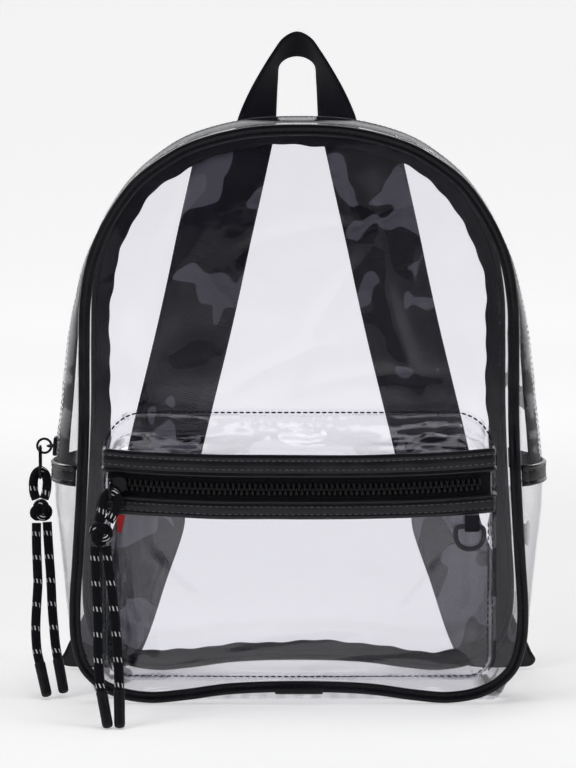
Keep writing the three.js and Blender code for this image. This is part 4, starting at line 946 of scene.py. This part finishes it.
def slider_piece(name, node, centre, axes, size, arch_way, arch_foot=None):
    """A slider: a rounded block round the teeth, waisted like a real one, and the arch for its pull."""
    (along, across, out), (length, width, height) = axes, size
    turn = np.linspace(0, 2 * math.pi, 28, endpoint=False)
    round_x = np.sign(np.cos(turn)) * np.abs(np.cos(turn)) ** 0.62 * length / 2
    waist = 1 - 0.16 * np.exp(-((round_x / length + 0.32) / 0.2) ** 2)
    round_y = np.sign(np.sin(turn)) * np.abs(np.sin(turn)) ** 0.62 * width / 2 * waist
    form = loft(Form(), [
        centre + np.outer(round_x * share, along) + np.outer(round_y * share, across) + out * up * height
        for up, share in ((0, 0.9), (0.15, 0.98), (0.55, 1), (0.85, 0.96), (1, 0.86))])
    foot = centre + out * height if arch_foot is None else arch_foot
    reach = np.radians(np.linspace(-104, 104, 20))
    arch = foot + ARCH_RADIUS * (np.outer(np.cos(reach), out) + np.outer(np.sin(reach), arch_way))
    tube(form, arch, ARCH_WIRE, 10).piece(name, METAL, "black_metal", sharp=45, nodes=[node])
    return foot


def wire_ring(name, line, node):
    tube(Form(), line, LINK_WIRE, 10, True).piece(name, METAL, "black_metal", nodes=[node])


SLIDER_OUT = np.array([-1.0, 0, 0])
share = -seam_share(131)
seat, ahead = (gusset_point(np.array([at]), np.array([float(ZIP_SETBACK)]), np.array([-1.3]))[0]
               for at in (share, share - 0.003))
along = (ahead - seat) / np.linalg.norm(ahead - seat)
arch_foot = slider_piece("main_zip_slider_body", "main_zip_slider", seat,
                         (along, np.array([0, 1.0, 0]), SLIDER_OUT), (11, 9, 2.4), (0, 1, 0))

turn = np.linspace(0, 2 * math.pi, 36, endpoint=False)
main_ring = np.array([arch_foot[0] - LINK_WIRE - 0.4 - MAIN_RING_RADIUS, arch_foot[1], arch_foot[2]])
circle = np.stack([np.cos(turn), 0 * turn, np.sin(turn)], -1)
wire_ring("main_ring_of_pull", main_ring + MAIN_RING_RADIUS * circle, "main_pull_ring")
bend = MAIN_LOOP[len(MAIN_LOOP) // 2]
link_low, link_high = bend[2] - CORD_RADIUS - CLEARANCE - 2 * LINK_WIRE, main_ring[2]
straight = (link_high - link_low) / 2 - LINK_HALF_WIDTH
link_up = (link_low + link_high) / 2 + straight * np.where(turn < math.pi, 1, -1)
wire_ring("main_link_of_pull", np.stack([
    np.full(36, bend[0]), bend[1] + LINK_HALF_WIDTH * np.cos(turn),
    link_up + LINK_HALF_WIDTH * np.sin(turn)], -1), "main_pull_link")


# ---- Front pocket ----
def pocket_edge(x):
    share = np.minimum(np.abs(x) / POCKET_HALF_WIDTH, 1)
    return FRONT_LINE - POCKET_CROWN * (1 - share ** 2)


def lift_at(x):
    return TRIM_LIFT * np.minimum(np.abs(x) / POCKET_HALF_WIDTH, 1) ** 3


def half_loop(half_width, edge, corner, steps=(14, 14, 60)):
    """Half of a rounded loop, from the zip's level at the right side to the middle of its far edge."""
    up = np.sign(edge - ZIP_LEVEL)
    side, bend, flat = steps
    z = np.linspace(ZIP_LEVEL, edge - up * corner, side, endpoint=False)
    angle = np.linspace(0, math.pi / 2, bend, endpoint=False)
    x_flat = np.linspace(half_width - corner, 0, flat)
    x = np.concatenate([np.full(side, half_width), half_width - corner + corner * np.cos(angle), x_flat])
    z = np.concatenate([z, edge - up * corner + up * corner * np.sin(angle), np.full(flat, edge)])
    out_x = np.concatenate([np.ones(side), np.cos(angle), np.zeros(flat)])
    out_z = np.concatenate([np.zeros(side), up * np.sin(angle), np.full(flat, up)])
    return np.stack([x, z, out_x, out_z], -1)


def full_loop(half):
    return np.concatenate([half, half[:-1][::-1] * (-1, 1, -1, 1)])


def pocket_wall(name, front, back, sag, node, seed, pucker):
    """The wall between the pocket's front edge and its seam, with folds that run in from the corners."""
    across = np.linspace(0, 1, 34)[None, :, None]
    f, b = front[:, None, :], back[:, None, :]
    flat = f * (1 - across) + b * across
    run = across[..., 0]
    corner = np.exp(-((np.abs(front[:, 0]) - 80) / 22) ** 2)[:, None] * np.abs(front[:, 3:4]) ** 0.5
    distance = run_length(front[:, :2])[:, None]
    spots = np.stack(np.broadcast_arrays(flat[..., 0], run * POCKET_DEPTH, flat[..., 1]), -1)
    slant = rough_field(spots * (0.35, 1.6, 1), 15, seed) * 1.9 + rough_field(spots, 8, seed + 1) * 0.5
    gather = np.cos(distance * 2 * math.pi / 7.5 + 2 * np.sin(distance / 17)) * (
        np.exp(-run / 0.1) * 0.25 + np.exp(-(1 - run) / 0.12) * 0.45)
    fade = np.minimum(np.sin(math.pi * run) * 2.2, 1)
    wave = (slant * (0.45 + corner * 2.6) + gather * 0.9) * fade * pucker
    inset = sag * np.sin(math.pi * run) * np.abs(front[:, 3:4]) + np.clip(wave, -1.0, 3.0)
    y = (pocket_edge(f[..., 0]) + CLEARANCE) * (1 - run) + (-HALF_DEPTH - 0.1) * run

    def grid(extra):
        x, z = flat[..., 0] - f[..., 2] * (inset + extra), flat[..., 1] - f[..., 3] * (inset + extra)
        return np.stack([x, np.broadcast_to(y, x.shape), z], -1)

    slab(Form(), grid(0.05), grid(0.05 + THIN_SHEET)).piece(name, CLEAR_SIDE, "clear_sheet", nodes=[node])


lower_front = full_loop(half_loop(POCKET_HALF_WIDTH, POCKET_FLOOR, POCKET_CORNER, (40, 14, 60)))
lower_back = full_loop(half_loop(SEAM_HALF_WIDTH, SEAM_FLOOR, POCKET_CORNER, (40, 14, 60)))
upper_front = full_loop(half_loop(POCKET_HALF_WIDTH, POCKET_TOP, POCKET_CORNER))
upper_back = full_loop(half_loop(SEAM_HALF_WIDTH, SEAM_TOP, SEAM_CORNER))
pocket_wall("pocket_wall_sheet", lower_front, lower_back, 0, "pocket_gusset", 21, 0.7)
pocket_wall("pocket_top_sheet", upper_front, upper_back, 3, "pocket_top", 27, 1.1)

# The seam of the pocket: a narrow flange and its black stitches on the front sheet
for name, loop in (("lower", lower_back), ("upper", upper_back)):
    x, z, out_x, out_z = loop.T
    line = np.stack([x + out_x * 0.6, 0 * x - HALF_DEPTH - 0.15, z + out_z * 0.6], -1)
    bead_row(Form(), line, np.array([0, -1, 0]), 3.3, 2.6, 0.46, 0.1).piece(
        f"pocket_seam_stitches_{name}", THREAD, "black_leather")
    runs = np.linspace(-1.8, 2.6, 7)[None, :]
    grid = np.stack([x[:, None] + out_x[:, None] * runs,
                     -HALF_DEPTH - 0.12 - 0.25 * np.cos(runs * 0.9) + 0 * x[:, None],
                     z[:, None] + out_z[:, None] * runs], -1)
    slab(Form(), grid, grid + np.array([0, 0.3, 0])).piece(
        f"pocket_seam_flange_{name}", CLEAR_SIDE, "clear_sheet")

# The front sheet of the pocket and its edge seams
u, v = np.meshgrid(np.linspace(-1, 1, 150), np.linspace(0, 1, 70), indexing="ij")
x = POCKET_HALF_WIDTH * np.sin(u * math.pi / 2)
past = np.maximum(np.abs(x) - (POCKET_HALF_WIDTH - POCKET_CORNER), 0)
bottom = POCKET_FLOOR + POCKET_CORNER - np.sqrt(np.maximum(POCKET_CORNER ** 2 - past ** 2, 0))
z = bottom + (TRIM_LOWER_BOTTOM + 1.5 + lift_at(x) - bottom) * v
edge = np.minimum(soft_step(POCKET_HALF_WIDTH - np.abs(x), 0, 22), soft_step(z - bottom, 0, 18))
edge = edge * (0.35 + 0.65 * (1 - v))
spots = np.stack([x, 0 * x, z], -1)
POCKET_FOLDS = [
    (40, 34, 70, 4, 6, 1.1), (-10, 44, 60, 4, 9, 0.8), (78, 60, 30, 6, 78, 1.6),
    (-80, 62, 34, 6, 100, 1.6), (64, 80, 26, 5, 52, 1.2), (-66, 84, 26, 5, 128, 1.2),
    (20, 70, 44, 7, 60, 0.7), (84, 34, 22, 4, 130, 1.2), (-84, 36, 22, 4, 50, 1.2),
]
dents = rough_field(spots, 30, 31) + rough_field(spots, 12, 33) * 0.25
dent = (dents + fold_field(x, z, POCKET_FOLDS)) * edge
outer = np.stack([x, pocket_edge(x) - SHEET_WALL + np.clip(dent, 0, 4), z], -1)
slab(Form(), outer, outer + np.array([0, THIN_SHEET, 0])).piece(
    "pocket_front_sheet", CLEAR_SIDE, "clear_sheet", nodes=["pocket_panel"])
x, z, out_x, out_z = lower_front.T
keep = z < TRIM_LOWER_BOTTOM - 1
line = np.stack([x, pocket_edge(x) - 0.7, z], -1)[keep]
tube(Form(), spaced(line, 260), 0.75, 8).piece("pocket_edge_seam", CLEAR_SIDE, "clear_sheet")
line = np.stack([x - out_x * 1.6, pocket_edge(x) - SHEET_WALL - 0.05, z - out_z * 1.6], -1)[keep]
bead_row(Form(), line, np.array([0, -1, 0]), 3.3, 2.4, 0.36, 0.05).piece(
    "pocket_edge_stitches", THREAD, "black_leather")

# Trims of the pocket's zip
TRIM_SIDE = POCKET_HALF_WIDTH + CLEARANCE
TRIM_TURN = 0.6
TRIM_STRAIGHT = TRIM_SIDE - TRIM_TURN
TRIM_HALF = TRIM_STRAIGHT + TRIM_TURN * math.pi / 2 + 13
SIDE_FLARE = (SEAM_HALF_WIDTH - POCKET_HALF_WIDTH) / POCKET_DEPTH


def trim_point(distance, out, level):
    way, size = np.sign(distance), np.abs(distance)
    past = size - TRIM_STRAIGHT
    angle = np.clip(past / TRIM_TURN, 0, math.pi / 2)
    back = np.maximum(past - TRIM_TURN * math.pi / 2, 0)
    flare = SIDE_FLARE * (back + TRIM_TURN * (1 - np.cos(angle)))
    corner = pocket_edge(TRIM_STRAIGHT) + TRIM_TURN
    round_end = past > 0
    x = np.where(round_end, TRIM_STRAIGHT + (TRIM_TURN + out) * np.sin(angle) + flare, size)
    y = np.where(round_end, corner - (TRIM_TURN + out) * np.cos(angle) + back, pocket_edge(distance) - out)
    return np.stack([way * x, y, level + lift_at(distance)], -1)


TRIM_PROFILE = {
    "stop": [0, 0.015, 0.05, 0.1, 0.15, 0.19, 0.215, 0.24, 0.28, 0.36, 0.5, 0.66, 0.74, 0.78, 0.86,
             0.93, 0.98, 1],
    "out": [0.5, 1.35, 2.1, 2.4, 2.15, 1.6, 1.3, 1.5, 1.68, 1.6, 1.75, 1.6, 1.5, 1.6, 1.72, 1.55, 1.1, 0.4],
}
bends = TRIM_STRAIGHT + TRIM_TURN * np.linspace(0.1, math.pi / 2, 5)
ends = np.concatenate([bends, np.linspace(bends[-1] + 0.6, TRIM_HALF, 12)])
stations = np.concatenate([-ends[::-1], np.linspace(-TRIM_STRAIGHT, TRIM_STRAIGHT, 170), ends])
stitch_stations = np.concatenate([-ends[::-1], np.linspace(-TRIM_STRAIGHT, TRIM_STRAIGHT, 400), ends])


def trim_wander(distance, stop, far_edge):
    """How far a trim strays from its level, more towards its far edge."""
    return 0.35 * rough_field(np.stack([distance, 0 * distance, 0 * distance + far_edge], -1), 34, 43) * stop


for name, zip_edge, far_edge in (
    ("upper", TRIM_UPPER_BOTTOM, POCKET_TOP), ("lower", TRIM_LOWER_TOP, TRIM_LOWER_BOTTOM),
):
    u, s = np.meshgrid(stations, TRIM_PROFILE["stop"], indexing="ij")
    out = np.broadcast_to(np.array(TRIM_PROFILE["out"]), u.shape)
    ripple = 0.16 * rough_field(np.stack([u, s * 12, 0 * u + far_edge], -1), 11, 41)
    level = zip_edge + (far_edge - zip_edge) * s + trim_wander(u, s, far_edge)
    slab(Form(), trim_point(u, out + ripple, level), trim_point(u, 0 * out + 0.02, level)).piece(
        f"pocket_trim_cover_{name}", TRIM_SKIN, "black_leather", nodes=[f"pocket_trim_{name}"])
    form = Form()
    for stop in (0.36, 0.74):
        level = zip_edge + (far_edge - zip_edge) * stop + trim_wander(stitch_stations, stop, far_edge)
        line = trim_point(stitch_stations, np.full(len(stitch_stations), 1.62), level)
        normal = trim_point(stitch_stations, np.full(len(stitch_stations), 2.62), level) - line
        bead_row(form, line, normal, 3.2, 2.2, 0.27)
    form.piece(f"pocket_trim_stitches_{name}", TRIM_THREAD, "black_leather")

across = np.linspace(-1, 1, 120)
u, v = np.meshgrid(POCKET_TAPE_HALF * np.sin(across * math.pi / 2),
                   np.linspace(TRIM_LOWER_TOP - 2.5, TRIM_UPPER_BOTTOM + 2.5, 12), indexing="ij")
tape = np.stack([u, pocket_edge(u) + 0.35, v + lift_at(u)], -1)
slab(Form(), tape, tape + np.array([0, 0.6, 0])).piece(
    "pocket_zip_tapes", TAPE_WEAVE, "black_webbing", nodes=["pocket_zip_tape"])
x = np.linspace(-POCKET_CHAIN_HALF, POCKET_CHAIN_HALF, int(2 * POCKET_CHAIN_HALF / (TOOTH_PITCH / 2)))
centre = np.stack([x, pocket_edge(x) + 0.3, ZIP_LEVEL + lift_at(x)], -1)
way = unit(np.gradient(centre, axis=0))
across = unit(np.cross(way, (0, -1, 0)))
out = np.cross(across, way)
out *= -np.sign(out[:, 1:2])
teeth(Form(), zip(centre, way, across, out), 1.9).piece(
    "pocket_zip_teeth", TEETH_PLASTIC, "black_plastic", sharp=40, nodes=["pocket_zip_chain"])

slider_back = pocket_edge(POCKET_SLIDER) - 1.6 - 2 * CLEARANCE
slider_size = (10, 8.6, 2.8)
bend = POCKET_LOOP[len(POCKET_LOOP) // 2]
face = slider_piece(
    "pocket_zip_slider_body", "pocket_zip_slider",
    np.array([POCKET_SLIDER, slider_back, ZIP_LEVEL + lift_at(POCKET_SLIDER)]),
    (np.array([1.0, 0, 0]), np.array([0, 0, 1.0]), np.array([0, -1.0, 0])), slider_size,
    (1, 0, 0), np.array([bend[0], slider_back - slider_size[2], bend[2]]))
wire_ring("pocket_ring_of_pull",
          face - np.array([0, LINK_WIRE + 0.4 + POCKET_RING_RADIUS, 0])
          + POCKET_RING_RADIUS * np.stack([0 * turn, np.cos(turn), np.sin(turn)], -1), "pocket_pull_ring")


# ---- Ring, its tab and the red tab ----
def strip_piece(name, line, width, wall, centre_x, nodes):
    """A folded strip of webbing: a line in the depth and height plane, swept across."""
    way = unit(np.gradient(line, axis=0))
    normal = np.column_stack([-way[:, 1], way[:, 0]])
    x = np.linspace(-width / 2, width / 2, 9)
    shrink = 1 - 0.35 * np.abs(x / (width / 2)) ** 8

    def grid(side):
        out = line[:, None] + normal[:, None] * side * wall / 2 * shrink[None, :, None]
        return np.stack([np.broadcast_to(centre_x + x, out.shape[:2]), out[..., 0], out[..., 1]], -1)

    slab(Form(), grid(1), grid(-1)).piece(name, WEBBING_WEAVE, "black_webbing", nodes=nodes)


ring_y = float(pocket_edge(TAB_ACROSS)) - SHEET_WALL - 2 * CLEARANCE - (RING_WIRE + CLEARANCE + 1.2)
tab_top = TRIM_LOWER_BOTTOM + float(lift_at(TAB_ACROSS)) - 0.2
angles = np.linspace(math.pi, 2 * math.pi, 16)
wrap = RING_WIRE + CLEARANCE + 0.6
fold = [(ring_y - wrap * 0.2 + 0.9, tab_top)]
fold += [(ring_y + wrap * math.cos(a), RING_BAR_LEVEL + wrap * math.sin(a)) for a in angles]
fold += [(ring_y + wrap, tab_top)]
fold_line = spaced(np.column_stack([fold, np.zeros(len(fold))]), 40)[:, :2]
strip_piece("ring_tab_strip", fold_line, 7.4, 1.1, TAB_ACROSS, ["ring_tab"])
RING_ROWS = [(0, 0), (0.4, 0), (0.74, 0.01), (0.93, 0.1), (1, 0.3), (0.97, 0.52), (0.82, 0.76),
             (0.5, 0.94), (0, 1)]
half = np.array([(a * RING_HALF_WIDTH, 0, -d * RING_DROP) for a, d in RING_ROWS])
ring_line = curve_through(np.vstack([half, half[1:-1][::-1] * (-1, 1, 1)]), True, 8)[:-1]
ring_place = np.array([RING_ACROSS, ring_y, RING_BAR_LEVEL])
tube(Form(), ring_line + ring_place, RING_WIRE, 14, True, up=(0, 1, 0)).piece(
    "d_ring_loop", RING_PLASTIC, "black_plastic", body="ring", nodes=["d_ring"])
red_top = TRIM_LOWER_BOTTOM + float(lift_at(RED_TAB_ACROSS)) - CLEARANCE
red_front = float(pocket_edge(RED_TAB_ACROSS)) - SHEET_WALL - 0.35
u, v = np.meshgrid(np.linspace(0, 1, 14), np.linspace(-1, 1, 7), indexing="ij")
red = np.stack([RED_TAB_ACROSS + v * (2.3 - 1.3 * u) - 0.8 * u, red_front - 0.5 * np.sin(math.pi * u * 0.8),
                red_top - u * (red_top - RED_TAB_END)], -1)
slab(Form(), red - np.array([0, 0.5, 0]), red).piece(
    "red_cloth_tab", RED_WEAVE, "red_cloth", nodes=["red_tab"])


# ---- Carry handle ----
def handle_edges():
    rows = {key: np.array(value, float) for key, value in HANDLE.items()}
    outer = HANDLE_LEG_INNER + rows["outer"] * HANDLE_WIDTH
    inner = HANDLE_LEG_INNER + rows["inner"] * HANDLE_WIDTH
    forward = rows["turn"] * HANDLE_WIDTH / 2

    def foot(x):
        return seam_at(0.5 - x / SEAM_LENGTH)[1] + CLEARANCE

    one = np.stack([outer, HALF_DEPTH - forward, foot(outer) + rows["outer_rise"] * HANDLE_RISE], -1)
    two = np.stack([inner, HALF_DEPTH + forward, foot(inner) + rows["inner_rise"] * HANDLE_RISE], -1)
    mirror = np.array([-1, 1, 1])
    both = [np.vstack([half * mirror, half[:-1][::-1]]) for half in (one, two)]
    return [curve_through(line + np.array([HANDLE_CENTRE, 0, 0]), False, 8) for line in both]


outer_edge, inner_edge = handle_edges()
shares = np.linspace(0, 1, 15)[None, :, None]
grid = outer_edge[:, None] * (1 - shares) + inner_edge[:, None] * shares
way = np.gradient(grid.mean(1), axis=0)
normal = unit(np.cross(way, inner_edge - outer_edge))
thick = 0.8 * (1 - 0.4 * np.abs(np.linspace(-1, 1, 15)) ** 8)[None, :, None]
slab(Form(), grid + normal[:, None] * thick, grid - normal[:, None] * thick).piece(
    "carry_handle", HANDLE_WEAVE, "black_webbing", nodes=["top_handle"])
form = Form()
for share in (0.1, 0.9):
    line = outer_edge * (1 - share) + inner_edge * share
    for face in (1, -1):
        bead_row(form, line + normal * 0.8 * face, normal * face, 3.4, 2.3, 0.22)
form.piece("carry_handle_stitches", THREAD, "black_webbing")


# ---- Shoulder straps, adjusters, webbing and tabs ----
def flange_level(x):
    shares = np.linspace(0.25, 0.5, 2000)
    sx, sz, out_x, out_z = seam_at(shares)
    return np.interp(-np.abs(x), -(sx - out_x * PIPING_WIDTH), sz - out_z * PIPING_WIDTH)


def band_frames(centres):
    way = unit(np.gradient(centres, axis=0))
    across = unit(np.cross(way, (0, 1, 0)))
    return way, across, np.cross(across, way)


def strap_centres(turn, count):
    rows = {key: np.array(value, float) for key, value in STRAP.items()}
    line = np.stack([turn * rows["across"] * BODY_HALF_WIDTH,
                     STRAP_GROUND + STRAP_THICKNESS / 2 + rows["off"] * STRAP_STAND_OFF,
                     STRAP_END + (STRAP_TOP - STRAP_END) * rows["up"]], -1)
    return spaced(curve_through(line), count)


def mark_front(obj, values):
    """Tells the strap cloth which points face the front, where it paints its reflection patches."""
    obj.data.attributes.new("front", "FLOAT", "POINT").data.foreach_set("value", values)


def strap_plane(rows, width, wall, name, nodes):
    rows = np.asarray(rows, float)
    _, across, normal = band_frames(rows)
    shares = np.linspace(-1, 1, 13)
    edge = 1 - 0.4 * np.abs(shares) ** 8
    mid = rows[:, None] + across[:, None] * (shares * width / 2)[None, :, None]
    lift = normal[:, None] * (edge * wall / 2)[None, :, None]
    strip = slab(Form(), mid + lift, mid - lift).piece(name, STRAP_CLOTH, "black_webbing", nodes=nodes)
    order = [0.0, 1.0] if lift[..., 1].mean() > 0 else [1.0, 0.0]
    mark_front(strip, np.repeat(order, mid.shape[0] * mid.shape[1]))


SECTION_TURN = np.linspace(0, 2 * math.pi, 40, endpoint=False)
for turn_way, side in ((1, "right"), (-1, "left")):
    centres = strap_centres(turn_way, 90)
    way, across, normal = band_frames(centres)
    distance = run_length(centres)
    cosine, sine = np.cos(SECTION_TURN), np.sin(SECTION_TURN)
    wide = np.sign(cosine) * np.abs(cosine) ** 0.5 * STRAP_WIDTH / 2
    crown = np.sign(sine) * np.abs(sine) ** 0.62
    seam_groove = 1 - 0.30 * np.exp(-((np.abs(wide) - STRAP_SEAM) / 0.9) ** 2)
    dome = 1 - (wide / (STRAP_WIDTH / 2)) ** 2
    quilt = 1 + 0.05 * np.cos(distance[:, None] * 2 * math.pi / 46) * dome[None, :]
    thick = STRAP_THICKNESS / 2 * crown[None, :] * seam_groove[None, :] * quilt
    end_pinch = np.minimum(1, 0.55 + 0.45 * np.minimum(distance, distance[-1] - distance) / 8)[:, None]
    rings = centres[:, None] + across[:, None] * wide[None, :, None]
    rings = rings + normal[:, None] * (thick * end_pinch)[..., None]
    limit = flange_level(rings[..., 0]) - CLEARANCE
    rings[..., 2] = np.where(rings[..., 2] > limit, limit, rings[..., 2])
    strap = loft(Form(), rings).piece(
        f"shoulder_strap_{side}", STRAP_CLOTH, "black_webbing", nodes=[f"strap_{side}"])
    facing = np.zeros(len(strap.data.vertices))
    facing[:rings.shape[0] * rings.shape[1]] = (rings[..., 1] < centres[:, None, 1]).reshape(-1)
    mark_front(strap, facing)
    form = Form()
    for edge in (-STRAP_SEAM, STRAP_SEAM):
        for face in (-1, 1):
            line = centres + across * edge + normal * face * STRAP_THICKNESS / 2 * 0.62
            bead_row(form, line[2:-2], normal[2:-2] * face, 3.6, 2.4, 0.26)
    form.piece(f"shoulder_strap_stitches_{side}", THREAD, "black_webbing")

    # Adjuster: a frame with two slots and a ridged middle bar
    foot, foot_way, foot_across, foot_normal = centres[-1], way[-1], across[-1], normal[-1]
    lock = foot + foot_way * (ADJUSTER_HEIGHT / 2 + CLEARANCE)
    form = Form()
    turn_round = np.linspace(0, 2 * math.pi, 64, endpoint=False)
    c, s = np.cos(turn_round), np.sin(turn_round)
    frame_x = np.clip(np.sign(c) * np.abs(c) ** 0.28, -1, 1) * (ADJUSTER_HALF_WIDTH - ADJUSTER_WIRE)
    frame_z = np.clip(np.sign(s) * np.abs(s) ** 0.28, -1, 1) * (ADJUSTER_HEIGHT / 2 - ADJUSTER_WIRE)
    line = lock + np.outer(frame_x, foot_across) + np.outer(frame_z, foot_way)
    tube(form, line, ADJUSTER_WIRE, 12, True, flat=0.85, up=foot_normal)
    bar = lock + np.outer(np.linspace(-22, 22, 24), foot_across) + foot_way * -0.02
    tube(form, bar, 1.7 + 0.12 * np.cos(np.arange(24) * math.pi), 12, flat=0.85, up=foot_normal)
    form.piece(f"adjuster_frame_{side}", PLASTIC, "black_plastic", nodes=[f"strap_adjuster_{side}"])

    # The webbing from the adjuster's bars down to its tab, then the loop that holds the adjuster to the strap
    start = foot + foot_way * (ADJUSTER_HEIGHT + 0.6)
    second = start + foot_way * WEBBING_WIDTH / 4
    lower = [(turn_way * a * BODY_HALF_WIDTH, STRAP_GROUND + 0.8 + o * STRAP_STAND_OFF, up * STRAP_END)
             for up, a, o in zip(WEBBING["up"], WEBBING["across"], WEBBING["off"])]
    threaded = [lock - foot_way * 3.2 + foot_normal * 3.6, lock + foot_way * 0.6 + foot_normal * 3.9,
                lock + foot_way * 4.6 + foot_normal * 1.9, lock + foot_way * 7.6 + foot_normal * 0.3,
                start, second]
    strap_plane(spaced(curve_through([*threaded, *lower]), 60), WEBBING_WIDTH, 1.5,
                f"lower_webbing_{side}", [f"strap_webbing_{side}"])
    over = [foot - foot_way * 3 + foot_normal * 2.7, foot + foot_way * 1.5 + foot_normal * 2.9,
            lock - foot_way * 4.5 + foot_normal * 2.5, lock - foot_way * 0.6 + foot_normal * 2.5,
            lock + foot_way * 2.5 + foot_normal * 0.7, lock + foot_way * 2.3 - foot_normal * 1.2,
            lock - foot_way * 0.8 - foot_normal * 2.5, lock - foot_way * 5 - foot_normal * 2.4,
            foot + foot_way * 1.5 - foot_normal * 2.9, foot - foot_way * 3 - foot_normal * 2.7]
    strap_plane(spaced(curve_through(over), 30), WEBBING_WIDTH, 1.1, f"adjuster_loop_{side}", [])

    # Tab behind the lower corner
    outline = np.column_stack([
        np.array(TAB["out"]) * TAB_REACH * turn_way, np.zeros(len(TAB["out"])),
        np.array(TAB["up"]) * TAB_RISE])
    rim = curve_through(outline, True, 8)[:-1]
    tab_y = STRAP_GROUND + 1.6 + WEBBING["off"][-1] * STRAP_STAND_OFF + 0.6
    middle = rim.mean(0)
    rings = []
    for depth, size in (
        (0, 0.0), (0, 0.6), (0, 0.94), (0.35, 1), (1.25, 1), (1.6, 0.94), (1.7, 0.6), (1.7, 0.0),
    ):
        ring = middle + (rim - middle) * max(size, 0.02)
        ring[:, 1] = tab_y + depth
        rings.append(ring)
    loft(Form(), rings).piece(f"webbing_tab_{side}", TRIM_SKIN, "black_leather", nodes=[f"strap_tab_{side}"])
    form = Form()
    for depth, face in ((0, -1), (1.68, 1)):
        line = middle + (rim - middle) * 0.86
        line[:, 1] = tab_y + depth
        bead_row(form, np.vstack([line, line[:1]]), np.array([0, face, 0]), 3.4, 2.3, 0.25)
    form.piece(f"webbing_tab_stitches_{side}", THREAD, "black_leather")


# ---- Floor, backdrop and lights ----
BACKDROP_NEAR, BACKDROP_FAR = 0.36, 0.74


def backdrop_finish():
    """Pale paper that glows a little more away from the lamps, so that it looks even."""
    finish = Finish("pale backdrop")
    far = finish.node("ShaderNodeVectorMath", {"operation": "LENGTH"}, {0: finish.place()}, out="Value")
    seen = finish.node("ShaderNodeLightPath", out="Is Camera Ray")
    depth = finish.node("ShaderNodeSeparateXYZ", (), {0: finish.place()}, out=1)
    wall = depth.ramp(2.5, 4.0)
    glow = far.ramp(0.2, 2.1, BACKDROP_NEAR, BACKDROP_FAR) * ((seen + wall - seen * wall) * 0.84 + 0.16)
    colour = finish.mix(glow, (0, 0, 0, 1), (1, 1, 1, 1))
    return finish.done(finish.shader(
        base_color=(0.68, 0.68, 0.68, 1), roughness=0.9, specular_ior_level=0.0,
        emission_color=colour, emission_strength=1))


FLOOR_REACH, FLOOR_BACK, FLOOR_CURVE, WALL_TOP = 9000, 4000, 2500, 7000
profile = np.array(
    [(-FLOOR_REACH, 0), (FLOOR_BACK, 0)]
    + [(FLOOR_BACK + FLOOR_CURVE * math.sin(a), FLOOR_CURVE - FLOOR_CURVE * math.cos(a))
       for a in np.linspace(0.1, math.pi / 2, 14)]
    + [(FLOOR_BACK + FLOOR_CURVE, WALL_TOP)])
outer = np.stack([np.column_stack([np.full(len(profile), x), profile])
                  for x in (-float(FLOOR_REACH), float(FLOOR_REACH))], 1)
_, faces, _ = grid_faces(len(profile), 2, False)
mesh = bpy.data.meshes.new("backdrop")
mesh.from_pydata((outer.reshape(-1, 3) * MM).tolist(), [], faces.tolist())
mesh.polygons.foreach_set("use_smooth", np.ones(len(mesh.polygons), bool))
mesh.materials.append(backdrop_finish())
backdrop = bpy.data.objects.new("backdrop", mesh)
scene.collection.objects.link(backdrop)

# Place and size in metres, power and what each lamp adds to
LIGHTS = {
    "key": ((-1.35, -1.25, 1.25), (0.9, 1.3), 17, "diffuse"),
    "fill": ((1.5, -1.1, 0.7), (0.7, 1.4), 9, "diffuse"),
    "top": ((0.1, -0.1, 1.7), (1.2, 0.9), 15, "diffuse"),
    "key strip": ((-1.6, -0.9, 1.1), (0.14, 1.3), 3, "gloss"),
    "fill strip": ((1.7, -0.8, 0.7), (0.10, 1.4), 2, "gloss"),
    "back right": ((0.62, 1.25, 1.30), (0.22, 0.9), 7, "gloss"),
    "back left": ((-0.75, 1.2, 1.15), (0.22, 0.9), 8, "gloss"),
    "back wide": ((0.1, 1.5, 2.1), (2.2, 0.7), 10, "gloss"),
}
for name, (place, size, power, lights) in LIGHTS.items():
    light = bpy.data.lights.new(name, "AREA")
    light.shape = "RECTANGLE"
    light.size, light.size_y = size
    light.energy = power
    lamp = bpy.data.objects.new(name, light)
    scene.collection.objects.link(lamp)
    lamp.location = place
    lamp.visible_glossy = lights != "diffuse"
    lamp.visible_diffuse = lights != "gloss"
    lamp.rotation_euler = (Vector((0, 0, 0.16)) - Vector(place)).to_track_quat("-Z", "Y").to_euler()

world = bpy.data.worlds.new("studio")
scene.world = world
world.use_nodes = True
tree = world.node_tree
tree.nodes.clear()
output = tree.nodes.new("ShaderNodeOutputWorld")
blend = tree.nodes.new("ShaderNodeMixShader")
seen, lit = tree.nodes.new("ShaderNodeBackground"), tree.nodes.new("ShaderNodeBackground")
seen.inputs["Color"].default_value = (0.87, 0.87, 0.87, 1)
lit.inputs["Color"].default_value = (0.03, 0.03, 0.034, 1)
path = tree.nodes.new("ShaderNodeLightPath")
tree.links.new(path.outputs["Is Camera Ray"], blend.inputs[0])
tree.links.new(lit.outputs[0], blend.inputs[1])
tree.links.new(seen.outputs[0], blend.inputs[2])
tree.links.new(blend.outputs[0], output.inputs["Surface"])

bpy.context.view_layer.update()
